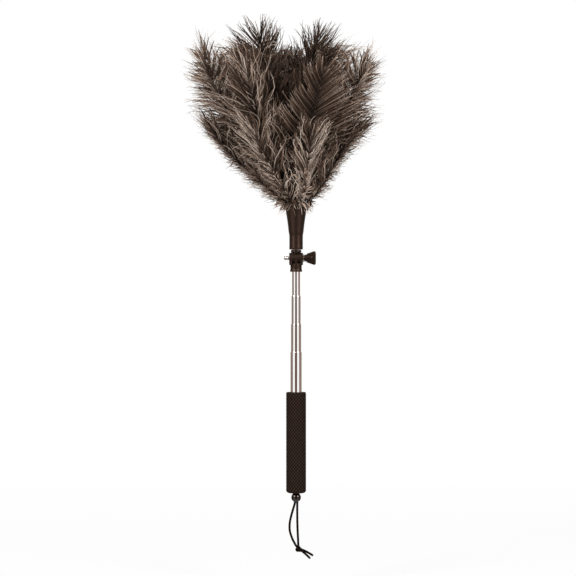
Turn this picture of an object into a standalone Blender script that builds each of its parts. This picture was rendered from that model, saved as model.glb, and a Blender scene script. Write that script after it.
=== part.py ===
"""Ostrich feather duster: plumes in a flared ferrule, a tilt joint, a telescopic tube and a foam grip.

Metres, +Z up. The origin is on the pole's axis at the middle of the grip, and the pole stands upright.
The tilt joint turns about X, and the thumbscrew lies on that axis with its thumb piece on +X.
"""
import math

import bmesh
import bpy
from mathutils import Vector

MM = 0.001

# Clearances
seat_gap = 0.3 * MM
ring_gap = 0.1 * MM
drag_gap = 0.08 * MM
leaf_gap = 0.25 * MM
cut_over = 1.0 * MM

# Foam grip
grip_length = 111.0 * MM
foam_thickness = 4.4 * MM
grip_top_round = 1.2 * MM
grip_foot_round_width = 3.8 * MM
grip_foot_round_height = 3.0 * MM

# Telescopic tubes: tube_1 is the widest, and each one slides in the tube below it
tube_1_diameter = 12.6 * MM
tube_wall = 0.3 * MM
tube_gap = 0.3 * MM
tube_1_showing = 44.1 * MM
tube_2_showing = 30.8 * MM
tube_3_showing = 30.8 * MM
tube_4_showing = 26.6 * MM
home_showing = 3.8 * MM
lip_height = 1.2 * MM
foot_bead = 1.0 * MM
neck_depth = 0.5 * MM
ring_length = 8.0 * MM
ring_slot = 1.2 * MM

# End plug, end ball and the slot that the cord comes out of
plug_recess = 0.9 * MM
plug_flange = 1.2 * MM
plug_spigot = 8.0 * MM
ball_radius = 5.4 * MM
ball_stem_radius = 2.2 * MM
ball_stem_length = 5.0 * MM
cord_diameter = 2.2 * MM
cord_slot_depth = 4.0 * MM
cord_slot_reach = 2.7 * MM

# Tilt joint: three leaves on the socket and two on the yoke
socket_wall = 1.45 * MM
socket_depth = 7.2 * MM
socket_flare = 0.4 * MM
socket_flare_height = 2.6 * MM
socket_body_height = 8.3 * MM
block_height = 1.9 * MM
leaf_thickness = 2.8 * MM
leaf_radius = 5.6 * MM
leaf_neck_half_width = 3.2 * MM
collar_height = 3.2 * MM
collar_radius = 5.6 * MM
collar_bead = 0.3 * MM

# Clamp screw, nut, washer and thumb piece, all on the tilt axis
screw_diameter = 5.0 * MM
screw_standing_out = 5.6 * MM
screw_chamfer = 0.5 * MM
screw_in_knob = 8.0 * MM
nut_across_flats = 8.0 * MM
nut_thickness = 2.0 * MM
washer_diameter = 8.8 * MM
washer_thickness = 0.8 * MM
knob_neck_radius = 3.9 * MM
knob_neck_length = 2.6 * MM
knob_core_length = 7.4 * MM
knob_blade_length = 10.3 * MM
knob_blade_thickness = 5.0 * MM
knob_blade_inner_half = 4.8 * MM
knob_blade_outer_half = 7.8 * MM
knob_corner_cut = 1.5 * MM
knob_edge = 0.5 * MM

# Ferrule and the stud that it screws onto
stud_diameter = 6.0 * MM
stud_in_collar = 2.2 * MM
stud_in_ferrule = 16.0 * MM
ferrule_height = 45.5 * MM
ferrule_foot_radius = 7.5 * MM
ferrule_wall = 1.0 * MM
ferrule_web = 3.5 * MM
ferrule_cavity_height = 18.0 * MM
ferrule_edge = 0.4 * MM
mouth_gap = 0.5 * MM
flare_height_shares = (0.0, 0.32, 0.42, 0.56, 0.71, 0.86, 1.0)
flare_shares = (0.0, 0.0, 0.16, 0.32, 0.53, 0.78, 1.0)

# Dowel, bindings and quills
dowel_diameter = 5.0 * MM
dowel_in_web = 6.0 * MM
dowel_over_mouth = 5.0 * MM
quill_radius = 0.6 * MM
quill_in_ferrule = 10.0 * MM
quill_straight = 4.2 * MM
binding_wall = 0.3 * MM
binding_height = 3.0 * MM

# Plumes: reach is out from the ring of quills, rise is up from the top of the bindings
vane_centre_half = 0.9 * MM
vane_tip_half = 0.35 * MM
plume_tip_half_width = 2.0 * MM
plume_side_gap = 0.9 * MM
head_lean = 12.5 * MM
head_lean_rise = 95.0 * MM
skirt_reach = 96.0 * MM
skirt_rise = 96.0 * MM
skirt_half_width = 31.0 * MM
outer_reach = 97.0 * MM
outer_rise = 186.0 * MM
outer_half_width = 30.0 * MM
upper_reach = 52.0 * MM
upper_rise = 204.0 * MM
upper_half_width = 21.0 * MM
centre_reach = 13.0 * MM
centre_rise = 170.0 * MM
centre_half_width = 9.0 * MM

# Each layer of plumes, from the dowel outwards: first and pitch are degrees round the pole from +X,
# and the upper and outer layers leave a wide gap at the front, where the dark core shows.
# Handle shares are the two middle points of a plume's curve, as shares of reach and rise,
# and the last two tuples vary reach and rise from plume to plume
plume_layers = (
    dict(name="centre_plume", count=6, first=-88.0, pitch=60.0, reach=centre_reach, rise=centre_rise,
         half_width=centre_half_width, handle_shares=((0.10, 0.30), (0.40, 0.70)),
         reach_shares=(1.0, 0.90, 1.0, 0.94, 1.0, 0.90),
         rise_shares=(0.96, 0.88, 1.0, 0.92, 0.98, 0.90)),
    dict(name="upper_plume", count=8, first=-43.0, pitch=40.0, reach=upper_reach, rise=upper_rise,
         half_width=upper_half_width, handle_shares=((0.08, 0.32), (0.66, 0.70)),
         reach_shares=(1.0, 0.96, 1.0, 0.94, 1.0, 0.96, 0.98, 1.0),
         rise_shares=(1.0, 0.92, 0.97, 0.90, 0.95, 0.92, 0.94, 1.0)),
    dict(name="outer_plume", count=9, first=-64.0, pitch=38.5, reach=outer_reach, rise=outer_rise,
         half_width=outer_half_width, handle_shares=((0.13, 0.24), (0.82, 0.62)),
         reach_shares=(0.97, 1.0, 1.0, 0.98, 0.94, 0.98, 1.0, 1.0, 0.97),
         rise_shares=(0.86, 0.90, 0.94, 0.92, 0.86, 0.96, 1.0, 0.93, 0.88)),
    dict(name="skirt_plume", count=8, first=-67.5, pitch=45.0, reach=skirt_reach, rise=skirt_rise,
         half_width=skirt_half_width, handle_shares=((0.28, 0.10), (0.62, 0.42)),
         reach_shares=(0.94, 1.0, 1.0, 0.97, 0.97, 1.0, 1.0, 0.94),
         rise_shares=(0.92, 1.02, 1.0, 0.96, 0.96, 1.0, 1.04, 0.94)),
)
vane_start_share = 0.08
vane_full_share = 0.50
vane_stations = 24
tooth_share = 0.62
tooth_sweep_share = 0.045
tooth_wave_share = 0.12

# Route of the cord: the left and right runs of the loop, and the two cut ends beyond the knot
cord_left_route = (
    (-1.30, 0.0, -62.2), (-1.35, 0.0, -66.4), (-2.5, -0.1, -70.6), (-4.9, -0.3, -78.8),
    (-6.6, -0.5, -86.0), (-7.2, -0.7, -92.2), (-6.7, -0.8, -98.0), (-4.6, -0.9, -104.6),
    (-2.3, -1.0, -109.4), (0.1, -1.0, -113.5),
)
cord_right_route = (
    (1.30, 0.0, -62.2), (1.30, 0.0, -66.4), (1.25, 0.1, -73.7), (1.35, 0.3, -86.0),
    (1.7, 0.6, -97.2), (2.2, 0.9, -107.4), (2.45, 1.0, -112.9),
)
cord_upper_tail_route = (
    (6.75, 1.2, -118.0), (9.4, 1.3, -119.2), (12.65, 1.3, -120.9), (15.9, 1.1, -122.7),
    (19.0, 0.9, -124.7),
)
cord_lower_tail_route = (
    (6.60, -1.2, -119.3), (9.1, -1.3, -121.3), (11.4, -1.3, -123.4), (13.6, -1.1, -125.5),
    (15.7, -0.9, -127.6),
)
knot_centre = (2.75, 0.0, -117.2)
knot_half_length = 3.7 * MM
knot_half_height = 3.3 * MM
knot_turn = math.radians(25.0)

# Counts of faces
tube_steps = 24
cup_steps = 32
small_steps = 20
leaf_steps = 14
round_steps = 4
knot_steps = 14
knot_rows = 8
points_per_span = 3

# Radii of the nested tubes
tube_radii = [tube_1_diameter / 2 - i * (tube_wall + tube_gap) for i in range(4)]
bore_radii = [r - tube_wall for r in tube_radii]
neck_length = foot_bead + ring_length + 2 * seat_gap + 2 * neck_depth

# Heights from the grip up to the tilt axis
grip_top = grip_length / 2
grip_foot = -grip_length / 2
plug_under = grip_foot + plug_recess
plug_top = plug_under + plug_flange + plug_spigot
tube_1_foot = plug_under + plug_flange + seat_gap
tube_1_mouth = grip_top + tube_1_showing
tube_2_mouth = tube_1_mouth + tube_2_showing
tube_3_mouth = tube_2_mouth + tube_3_showing
socket_foot = tube_3_mouth + tube_4_showing
tube_4_top = socket_foot + socket_depth - seat_gap
block_top = socket_foot + socket_body_height + block_height / 2
pivot_height = block_top + seat_gap + leaf_radius
collar_foot = pivot_height + leaf_radius + seat_gap
collar_top = collar_foot + collar_height

# Pushed home, each tube's foot stops just over what lies in the foot of the tube outside it
tube_2_length = (tube_1_mouth + home_showing) - (plug_top + seat_gap)
tube_3_length = tube_2_length + home_showing - (neck_length + seat_gap)
home_top_4 = tube_1_mouth + 3 * home_showing + socket_depth - seat_gap
home_foot_4 = plug_top + seat_gap + 2 * (neck_length + seat_gap)
tube_4_length = home_top_4 - home_foot_4
tube_tops = [tube_1_mouth, tube_2_mouth, tube_3_mouth, tube_4_top]
tube_feet = [tube_1_foot, tube_2_mouth - tube_2_length, tube_3_mouth - tube_3_length,
             tube_4_top - tube_4_length]
ring_rise = foot_bead + neck_depth + seat_gap

# Places along the tilt axis, from the screw's free end to the thumb piece
stack_half = (5 * leaf_thickness + 4 * leaf_gap) / 2
leaf_pitch = leaf_thickness + leaf_gap
screw_radius = screw_diameter / 2
screw_end = -stack_half - screw_standing_out
washer_inner_face = stack_half + seat_gap
knob_inner_face = washer_inner_face + washer_thickness + seat_gap
screw_tip = knob_inner_face + screw_in_knob

# Head: ferrule, dowel and the rings of quills
ferrule_foot = collar_top + seat_gap
ferrule_mouth = ferrule_foot + ferrule_height
stud_radius = stud_diameter / 2
dowel_radius = dowel_diameter / 2
quill_pitch = 2 * quill_radius + 2 * seat_gap + binding_wall
quill_rings = [dowel_radius + seat_gap + quill_radius + i * quill_pitch for i in range(4)]
mouth_inner_radius = quill_rings[3] + quill_radius + mouth_gap
mouth_radius = mouth_inner_radius + ferrule_wall
plume_base = ferrule_mouth + quill_straight


def empty_scene():
    """Remove every object, and start one collection for the duster and one for its cutters."""
    for item in list(bpy.data.objects):
        bpy.data.objects.remove(item, do_unlink=True)
    made = []
    for name in ("feather_duster", "cutters"):
        collection = bpy.data.collections.new(name)
        bpy.context.scene.collection.children.link(collection)
        made.append(collection)
    return made


parts, cutters = empty_scene()


def finish(name, colour, roughness, metallic=0.0):
    """A Principled material for one piece."""
    material = bpy.data.materials.new(name)
    material.use_nodes = True
    shader = material.node_tree.nodes["Principled BSDF"]
    shader.inputs["Base Color"].default_value = (*colour, 1.0)
    shader.inputs["Roughness"].default_value = roughness
    shader.inputs["Metallic"].default_value = metallic
    return material


def foam(name):
    return finish(name, (0.020, 0.015, 0.012), 0.9)


def chrome(name):
    return finish(name, (0.86, 0.84, 0.82), 0.12, 1.0)


def black_plastic(name):
    return finish(name, (0.022, 0.016, 0.013), 0.3)


def spring_brass(name):
    return finish(name, (0.60, 0.45, 0.20), 0.35, 1.0)


def cord_braid(name):
    return finish(name, (0.024, 0.017, 0.014), 0.8)


def thread(name):
    return finish(name, (0.45, 0.38, 0.30), 0.85)


def dowel_wood(name):
    return finish(name, (0.55, 0.40, 0.25), 0.7)


def feather(name, shade):
    return finish(name, (0.16 * shade, 0.115 * shade, 0.085 * shade), 0.85)


def keep(item, name, make_material):
    """Name a piece, give it its own material and put it in the duster's collection."""
    item.name = name
    item.data.name = name
    item.data.materials.clear()
    item.data.materials.append(make_material(name))
    for collection in list(item.users_collection):
        collection.objects.unlink(item)
    parts.objects.link(item)
    return item


def as_cutter(item, name):
    """Keep a helper shape out of the model, drawn as wires."""
    item.name = name
    for collection in list(item.users_collection):
        collection.objects.unlink(item)
    cutters.objects.link(item)
    item.hide_render = True
    item.display_type = "WIRE"
    return item


def new_object(name, data):
    item = bpy.data.objects.new(name, data)
    parts.objects.link(item)
    return item


def shade_round(item):
    item.data.shade_smooth()
    item.data.set_sharp_from_angle(angle=math.radians(35.0))


def turned(name, profile, steps, place=(0.0, 0.0, 0.0), along_x=False):
    """A turned shape: a profile of (radius, height) that runs down the outer side, swept round the axis.

    A profile that starts and ends on the axis is left open there; any other one is closed into a loop.
    """
    mesh = bpy.data.meshes.new(name)
    on_axis = profile[0][0] == 0.0 and profile[-1][0] == 0.0
    last = len(profile) - 1
    edges = [(i, i + 1) for i in range(last)]
    if not on_axis:
        edges.append((last, 0))
    mesh.from_pydata([(r, 0.0, z) for r, z in profile], edges, [])
    item = new_object(name, mesh)
    screw = item.modifiers.new("turn", "SCREW")
    screw.axis = "Z"
    screw.angle = math.tau
    screw.steps = steps
    screw.render_steps = steps
    screw.use_merge_vertices = True
    screw.merge_threshold = 0.00001
    screw.use_smooth_shade = True
    item.location = place
    if along_x:
        item.rotation_euler = (0.0, math.pi / 2, 0.0)
    return item


def quarter_round(centre_r, centre_z, width, height, start, steps):
    """Points of a quarter of an ellipse that turns clockwise from the angle start, as a profile runs."""
    points = []
    for i in range(steps + 1):
        angle = start - i * math.pi / 2 / steps
        points.append((centre_r + width * math.cos(angle), centre_z + height * math.sin(angle)))
    return points


def curve_to_mesh(item, name):
    """Make a curve object a mesh with its caps welded, in the same place."""
    bpy.context.view_layer.update()
    graph = bpy.context.evaluated_depsgraph_get()
    mesh = bpy.data.meshes.new_from_object(item.evaluated_get(graph))
    work = bmesh.new()
    work.from_mesh(mesh)
    bmesh.ops.remove_doubles(work, verts=work.verts, dist=0.000001)
    work.to_mesh(mesh)
    work.free()
    place = item.matrix_world.copy()
    bpy.data.objects.remove(item, do_unlink=True)
    solid = new_object(name, mesh)
    solid.matrix_world = place
    return solid


def plate(name, outline, thickness, place, rotation):
    """A flat outline filled and given thickness, centred on its own plane."""
    curve = bpy.data.curves.new(name, "CURVE")
    curve.dimensions = "2D"
    curve.fill_mode = "BOTH"
    curve.extrude = thickness / 2
    spline = curve.splines.new("POLY")
    spline.points.add(len(outline) - 1)
    for point, (u, v) in zip(spline.points, outline):
        point.co = (u, v, 0.0, 1.0)
    spline.use_cyclic_u = True
    item = new_object(name, curve)
    item.location = place
    item.rotation_euler = rotation
    return curve_to_mesh(item, name)


def box(name, size, place):
    bpy.ops.mesh.primitive_cube_add(size=1.0, location=place)
    item = bpy.context.active_object
    item.name = name
    item.scale = size
    bpy.ops.object.transform_apply(location=False, rotation=False, scale=True)
    return item


def rod(name, radius, length, steps, place, along_x=False):
    turn = (0.0, math.pi / 2, 0.0) if along_x else (0.0, 0.0, 0.0)
    bpy.ops.mesh.primitive_cylinder_add(vertices=steps, radius=radius, depth=length,
                                        location=place, rotation=turn)
    item = bpy.context.active_object
    item.name = name
    return item


def combine(item, other, operation):
    """Join another shape to a piece, or cut it out, with an exact Boolean."""
    as_cutter(other, item.name + "_" + operation.lower() + "_" + str(len(item.modifiers)))
    step = item.modifiers.new(operation.lower(), "BOOLEAN")
    step.operation = operation
    step.solver = "EXACT"
    step.object = other


def smooth_route(route, steps):
    """Points on a smooth curve through a route in millimetres (Catmull-Rom), steps to a span."""
    knots = [Vector(p) * MM for p in route]
    ends = [knots[0] * 2 - knots[1]] + knots + [knots[-1] * 2 - knots[-2]]
    points = []
    for a, b, c, d in zip(ends, ends[1:], ends[2:], ends[3:]):
        for i in range(steps):
            t = i / steps
            points.append(0.5 * (2 * b + (c - a) * t + (2 * a - 5 * b + 4 * c - d) * t ** 2
                                 + (3 * b - 3 * c + d - a) * t ** 3))
    return points + [knots[-1]]


def cord(name, route):
    """A round cord along a smooth curve through its route, with filled ends."""
    points = smooth_route(route, points_per_span)
    curve = bpy.data.curves.new(name, "CURVE")
    curve.dimensions = "3D"
    curve.bevel_depth = cord_diameter / 2
    curve.bevel_resolution = 2
    curve.use_fill_caps = True
    spline = curve.splines.new("POLY")
    spline.points.add(len(points) - 1)
    for point, place in zip(spline.points, points):
        point.co = (*place, 1.0)
    return keep(new_object(name, curve), name, cord_braid)


def pivot(name, place):
    """An empty on a joint's axis that carries the pieces that move with it."""
    item = new_object(name, None)
    item.empty_display_size = leaf_radius
    item.location = place
    return item


def carry(holder, items):
    """Parent pieces to an empty without moving them."""
    for item in items:
        item.parent = holder
        item.location = Vector(item.location) - Vector(holder.matrix_world.translation)


def make_grip():
    inner = tube_radii[0] + seat_gap
    outer = inner + foam_thickness
    profile = [(inner, grip_top)]
    profile += quarter_round(outer - grip_top_round, grip_top - grip_top_round,
                             grip_top_round, grip_top_round, math.pi / 2, round_steps)
    profile += quarter_round(outer - grip_foot_round_width, grip_foot + grip_foot_round_height,
                             grip_foot_round_width, grip_foot_round_height, 0.0, round_steps)
    profile.append((inner, grip_foot))
    return keep(turned("grip_sleeve", profile, cup_steps), "grip_sleeve", foam)


def make_tube(index):
    """One section of the pole: a thin wall, a rolled lip at its mouth and a neck at its foot for the ring."""
    radius, bore = tube_radii[index], bore_radii[index]
    length = tube_tops[index] - tube_feet[index]
    outside = [(radius, length)]
    inside = []
    if index > 0:
        neck_low = foot_bead + neck_depth
        neck_high = neck_length - neck_depth
        neck = [(0.0, neck_length), (neck_depth, neck_high), (neck_depth, neck_low), (0.0, foot_bead)]
        outside += [(radius - depth, height) for depth, height in neck]
        inside += [(bore - depth, height) for depth, height in reversed(neck)]
    outside.append((radius, 0.0))
    inside.insert(0, (bore, 0.0))
    if index < 3:
        lip = tube_radii[index + 1] + ring_gap
        inside += [(bore, length - lip_height), (lip, length - lip_height), (lip, length)]
    else:
        inside.append((bore, length))
    name = "tube_" + str(index + 1)
    item = turned(name, outside + inside, tube_steps, (0.0, 0.0, tube_feet[index]))
    return keep(item, name, chrome)


def make_slide_ring(index):
    """A split ring in the neck at a tube's foot, which drags in the bore outside it."""
    name = "slide_ring_" + str(index + 1)
    outer = bore_radii[index - 1] - drag_gap
    inner = tube_radii[index] - neck_depth + ring_gap
    foot = tube_feet[index] + ring_rise
    profile = [(inner, ring_length), (outer, ring_length), (outer, 0.0), (inner, 0.0)]
    item = keep(turned(name, profile, tube_steps, (0.0, 0.0, foot)), name, spring_brass)
    slot = box(name + "_slot", (outer + cut_over, ring_slot, ring_length + 2 * cut_over),
               ((outer + cut_over) / 2, 0.0, foot + ring_length / 2))
    combine(item, slot, "DIFFERENCE")
    return item


def make_end_plug():
    spigot = bore_radii[0] - seat_gap
    flange = tube_radii[0]
    hole = ball_stem_radius + seat_gap
    height = plug_flange + plug_spigot
    hole_top = ball_stem_length + seat_gap
    profile = [(0.0, height), (spigot, height), (spigot, plug_flange), (flange, plug_flange),
               (flange, 0.0), (hole, 0.0), (hole, hole_top), (0.0, hole_top)]
    return keep(turned("end_plug", profile, tube_steps, (0.0, 0.0, plug_under)), "end_plug", black_plastic)


def make_end_ball():
    """A ball with a stem that goes up into the plug, and a slot below for both runs of the cord."""
    centre = plug_under - seat_gap - ball_radius
    stem_angle = math.acos(ball_stem_radius / ball_radius)
    stem_top = ball_radius + ball_stem_length
    profile = [(0.0, stem_top), (ball_stem_radius, stem_top)]
    steps = 3 * round_steps
    for i in range(steps + 1):
        angle = stem_angle - i * (stem_angle + math.pi / 2) / steps
        profile.append((ball_radius * math.cos(angle), ball_radius * math.sin(angle)))
    profile[-1] = (0.0, -ball_radius)
    item = keep(turned("end_ball", profile, tube_steps, (0.0, 0.0, centre)), "end_ball", black_plastic)
    height = cord_slot_depth + cut_over
    slot = box("cord_slot", (2 * cord_slot_reach, cord_diameter + 2 * seat_gap, height),
               (0.0, 0.0, centre - ball_radius - cut_over + height / 2))
    combine(item, slot, "DIFFERENCE")
    return item


def make_lanyard():
    runs = [cord("lanyard_leg_left", cord_left_route), cord("lanyard_leg_right", cord_right_route)]
    runs.append(cord("lanyard_tail_upper", cord_upper_tail_route))
    runs.append(cord("lanyard_tail_lower", cord_lower_tail_route))
    bpy.ops.mesh.primitive_uv_sphere_add(segments=knot_steps, ring_count=knot_rows, radius=1.0,
                                         location=Vector(knot_centre) * MM)
    knot = bpy.context.active_object
    knot.scale = (knot_half_length, knot_half_height, knot_half_height)
    knot.rotation_euler = (0.0, knot_turn, 0.0)
    bpy.ops.object.transform_apply(location=False, rotation=False, scale=True)
    shade_round(knot)
    return runs + [keep(knot, "lanyard_knot", cord_braid)]


def leaf_outline(neck_half_width, neck_reach, up):
    """A round leaf about the tilt axis that runs on to its neck; up is 1 or -1."""
    if neck_half_width < leaf_radius:
        spread = math.hypot(neck_half_width, neck_reach)
        lean = math.atan2(neck_half_width, neck_reach)
        touch = lean + math.acos(leaf_radius / spread)
    else:
        touch = math.pi / 2
    points = [(neck_half_width, up * neck_reach)]
    for i in range(leaf_steps + 1):
        angle = touch + i * (math.tau - 2 * touch) / leaf_steps
        points.append((leaf_radius * math.sin(angle), up * leaf_radius * math.cos(angle)))
    points.append((-neck_half_width, up * neck_reach))
    return points


def leaves(name, outline, places):
    """Leaves of the tilt joint, side by side along X."""
    turn = (math.pi / 2, 0.0, math.pi / 2)
    return [plate(name + "_" + str(i), outline, leaf_thickness, (x, 0.0, pivot_height), turn)
            for i, x in enumerate(places)]


def make_socket():
    """The lower half of the tilt joint: a round socket, a block across its top and three leaves."""
    bore = tube_radii[3] + seat_gap
    outer = bore + socket_wall
    height = socket_body_height
    profile = [(0.0, height), (outer, height), (outer, socket_flare_height + socket_flare),
               (outer + socket_flare, socket_flare_height), (outer + socket_flare, socket_flare),
               (outer, 0.0), (bore, 0.0), (bore, socket_depth), (0.0, socket_depth)]
    item = turned("pole_socket", profile, tube_steps, (0.0, 0.0, socket_foot))
    keep(item, "pole_socket", black_plastic)
    block = box("socket_block", (2 * stack_half, 2 * leaf_radius, block_height),
                (0.0, 0.0, block_top - block_height / 2))
    combine(item, block, "UNION")
    outline = leaf_outline(leaf_radius, leaf_radius + seat_gap + block_height / 2, -1)
    for leaf in leaves("socket_leaf", outline, (-2 * leaf_pitch, 0.0, 2 * leaf_pitch)):
        combine(item, leaf, "UNION")
    bore_cut = rod("socket_bore", screw_radius + seat_gap, 2 * (stack_half + cut_over), small_steps,
                   (0.0, 0.0, pivot_height), along_x=True)
    combine(item, bore_cut, "DIFFERENCE")
    depth = nut_thickness + seat_gap + cut_over
    pocket = rod("nut_pocket", (nut_across_flats / 2 + seat_gap) / math.cos(math.pi / 6), depth, 6,
                 (-stack_half - cut_over + depth / 2, 0.0, pivot_height), along_x=True)
    combine(item, pocket, "DIFFERENCE")
    return item


def make_yoke():
    """The upper half of the tilt joint: two leaves under a beaded collar with a hole for the stud."""
    hole = stud_radius + seat_gap
    floor = collar_height - stud_in_collar - seat_gap
    middle = collar_height / 2
    profile = [(hole, collar_height), (collar_radius - collar_bead, collar_height),
               (collar_radius + collar_bead, middle), (collar_radius, 0.0), (0.0, 0.0)]
    profile = [(0.0, floor), (hole, floor)] + profile
    item = turned("pivot_yoke", profile, tube_steps, (0.0, 0.0, collar_foot))
    keep(item, "pivot_yoke", black_plastic)
    outline = leaf_outline(leaf_neck_half_width, leaf_radius + seat_gap + floor / 2, 1)
    for leaf in leaves("yoke_leaf", outline, (-leaf_pitch, leaf_pitch)):
        combine(item, leaf, "UNION")
    bore_cut = rod("yoke_bore", screw_radius + seat_gap, 2 * stack_half, small_steps,
                   (0.0, 0.0, pivot_height), along_x=True)
    combine(item, bore_cut, "DIFFERENCE")
    return item


def make_clamp():
    """The screw, its nut and washer, and the thumb piece, all turned about the tilt axis."""
    length = screw_tip - screw_end
    small = screw_radius - screw_chamfer
    profile = [(0.0, length), (small, length), (screw_radius, length - screw_chamfer),
               (screw_radius, screw_chamfer), (small, 0.0), (0.0, 0.0)]
    screw = turned("clamp_screw", profile, small_steps, (screw_end, 0.0, pivot_height), along_x=True)
    keep(screw, "clamp_screw", chrome)
    bore = screw_radius + seat_gap
    nut = rod("clamp_nut", nut_across_flats / 2 / math.cos(math.pi / 6), nut_thickness, 6,
              (-stack_half + nut_thickness / 2, 0.0, pivot_height), along_x=True)
    keep(nut, "clamp_nut", chrome)
    nut_bore = rod("nut_bore", bore, nut_thickness + 2 * cut_over, small_steps, nut.location, along_x=True)
    combine(nut, nut_bore, "DIFFERENCE")
    rim = washer_diameter / 2
    profile = [(bore, washer_thickness), (rim, washer_thickness), (rim, 0.0), (bore, 0.0)]
    place = (washer_inner_face, 0.0, pivot_height)
    washer = turned("clamp_washer", profile, small_steps, place, along_x=True)
    keep(washer, "clamp_washer", chrome)
    return screw, nut, washer, make_knob()


def make_knob():
    """A round neck and core with a flat flared blade, which fingers turn."""
    bore = screw_radius + seat_gap
    core = knob_neck_length + knob_core_length
    hole = screw_in_knob + seat_gap
    dome = knob_neck_radius / 2
    profile = [(0.0, core), (dome, core), (knob_neck_radius, core - dome), (knob_neck_radius, 0.0),
               (bore, 0.0), (bore, hole), (0.0, hole)]
    knob = turned("thumb_knob", profile, small_steps, (knob_inner_face, 0.0, pivot_height), along_x=True)
    keep(knob, "thumb_knob", black_plastic)
    far = knob_blade_length
    outline = [(0.0, knob_blade_inner_half), (far - knob_corner_cut, knob_blade_outer_half),
               (far, knob_blade_outer_half - knob_corner_cut)]
    outline += [(u, -v) for u, v in reversed(outline)]
    blade = plate("knob_blade", outline, knob_blade_thickness,
                  (knob_inner_face + knob_neck_length, 0.0, pivot_height), (math.pi / 2, 0.0, 0.0))
    edge = blade.modifiers.new("edge", "BEVEL")
    edge.width = knob_edge
    edge.segments = 2
    edge.limit_method = "ANGLE"
    combine(knob, blade, "UNION")
    bore_cut = rod("knob_bore", bore, hole + cut_over, small_steps,
                   (knob_inner_face - cut_over + (hole + cut_over) / 2, 0.0, pivot_height), along_x=True)
    combine(knob, bore_cut, "DIFFERENCE")
    return knob


def ferrule_radius(height):
    """Outer radius of the ferrule at a height above its foot, read along its flare."""
    share = height / ferrule_height
    spans = list(zip(flare_height_shares, flare_shares))
    for (low, a), (high, b) in zip(spans, spans[1:]):
        if share <= high:
            grown = a + (b - a) * (share - low) / (high - low)
            return ferrule_foot_radius + (mouth_radius - ferrule_foot_radius) * grown
    return mouth_radius


def make_stud():
    length = stud_in_collar + seat_gap + stud_in_ferrule
    small = stud_radius - screw_chamfer
    profile = [(0.0, length), (small, length), (stud_radius, length - screw_chamfer),
               (stud_radius, 0.0), (0.0, 0.0)]
    place = (0.0, 0.0, collar_top - stud_in_collar)
    return keep(turned("head_stud", profile, small_steps, place), "head_stud", chrome)


def make_ferrule():
    """A flared cup: a hole for the stud below, a web, a hole for the dowel and a cone for the quills."""
    stud_hole = stud_radius + seat_gap
    stud_top = stud_in_ferrule + seat_gap
    dowel_hole = dowel_radius + seat_gap
    web_top = stud_top + ferrule_web
    cavity = ferrule_height - ferrule_cavity_height
    heights = [share * ferrule_height for share in flare_height_shares]
    inner = [h for h in heights if h > cavity + ferrule_edge]
    profile = [(0.0, web_top), (dowel_hole, web_top), (dowel_hole, cavity)]
    profile += [(ferrule_radius(h) - ferrule_wall, h) for h in [cavity] + inner]
    profile += [(ferrule_radius(h), h) for h in reversed(heights[1:])]
    profile += [(ferrule_foot_radius, ferrule_edge), (ferrule_foot_radius - ferrule_edge, 0.0),
                (stud_hole, 0.0), (stud_hole, stud_top), (0.0, stud_top)]
    return keep(turned("ferrule", profile, cup_steps, (0.0, 0.0, ferrule_foot)), "ferrule", black_plastic)


def make_dowel():
    cavity = ferrule_mouth - ferrule_cavity_height
    foot = cavity - dowel_in_web
    top = ferrule_mouth + dowel_over_mouth
    length = top - foot
    small = dowel_radius - screw_chamfer
    profile = [(0.0, length), (small, length), (dowel_radius, length - screw_chamfer),
               (dowel_radius, 0.0), (0.0, 0.0)]
    return keep(turned("core_dowel", profile, small_steps, (0.0, 0.0, foot)), "core_dowel", dowel_wood)


def make_bindings():
    """Thread bindings, one between each two rings of quills, just over the ferrule's mouth."""
    made = []
    for i in range(3):
        inner = quill_rings[i] + quill_radius + seat_gap
        outer = inner + binding_wall
        profile = [(inner, binding_height), (outer, binding_height), (outer, 0.0), (inner, 0.0)]
        name = "binding_" + str(i + 1)
        foot = ferrule_mouth + (quill_straight - binding_height) / 2
        made.append(keep(turned(name, profile, tube_steps, (0.0, 0.0, foot)), name, thread))
    return made


def lean_at(height):
    """How far the head leans to -X at a height: nothing at the bindings, then a smooth rise."""
    share = min(max((height - plume_base) / head_lean_rise, 0.0), 1.0)
    return -head_lean * share * share * (3 - 2 * share)


def vane_share(t):
    """Half-width of the vane as a share of its greatest, from its start to near its tip."""
    if t <= vane_start_share:
        return 0.0
    rise = min((t - vane_start_share) / (vane_full_share - vane_start_share), 1.0)
    return math.sin(rise * math.pi / 2) ** 0.8 * math.sqrt(max(1.0 - t ** 5, 0.0))


def plume_section(layer, radius, height, tangent, azimuth, half_width, half_thick, sweep):
    """Four corners of a plume's section: left edge, outer ridge, right edge, inner ridge.

    The edges lie on the circle round the pole at the plume's radius, so that neighbours never meet.
    """
    out_r, out_z = tangent[1], -tangent[0]
    limit = math.radians(layer["pitch"]) / 2 - plume_side_gap / 2 / radius
    spread = min(half_width / radius, limit)
    corners = []
    for side, off, push in ((-spread, 0.0, sweep), (0.0, half_thick, 0.0),
                            (spread, 0.0, sweep), (0.0, -half_thick, 0.0)):
        r = radius + out_r * off + tangent[0] * push
        z = height + out_z * off + tangent[1] * push
        corners.append((r * math.cos(azimuth + side) + lean_at(z), r * math.sin(azimuth + side), z))
    return corners


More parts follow.
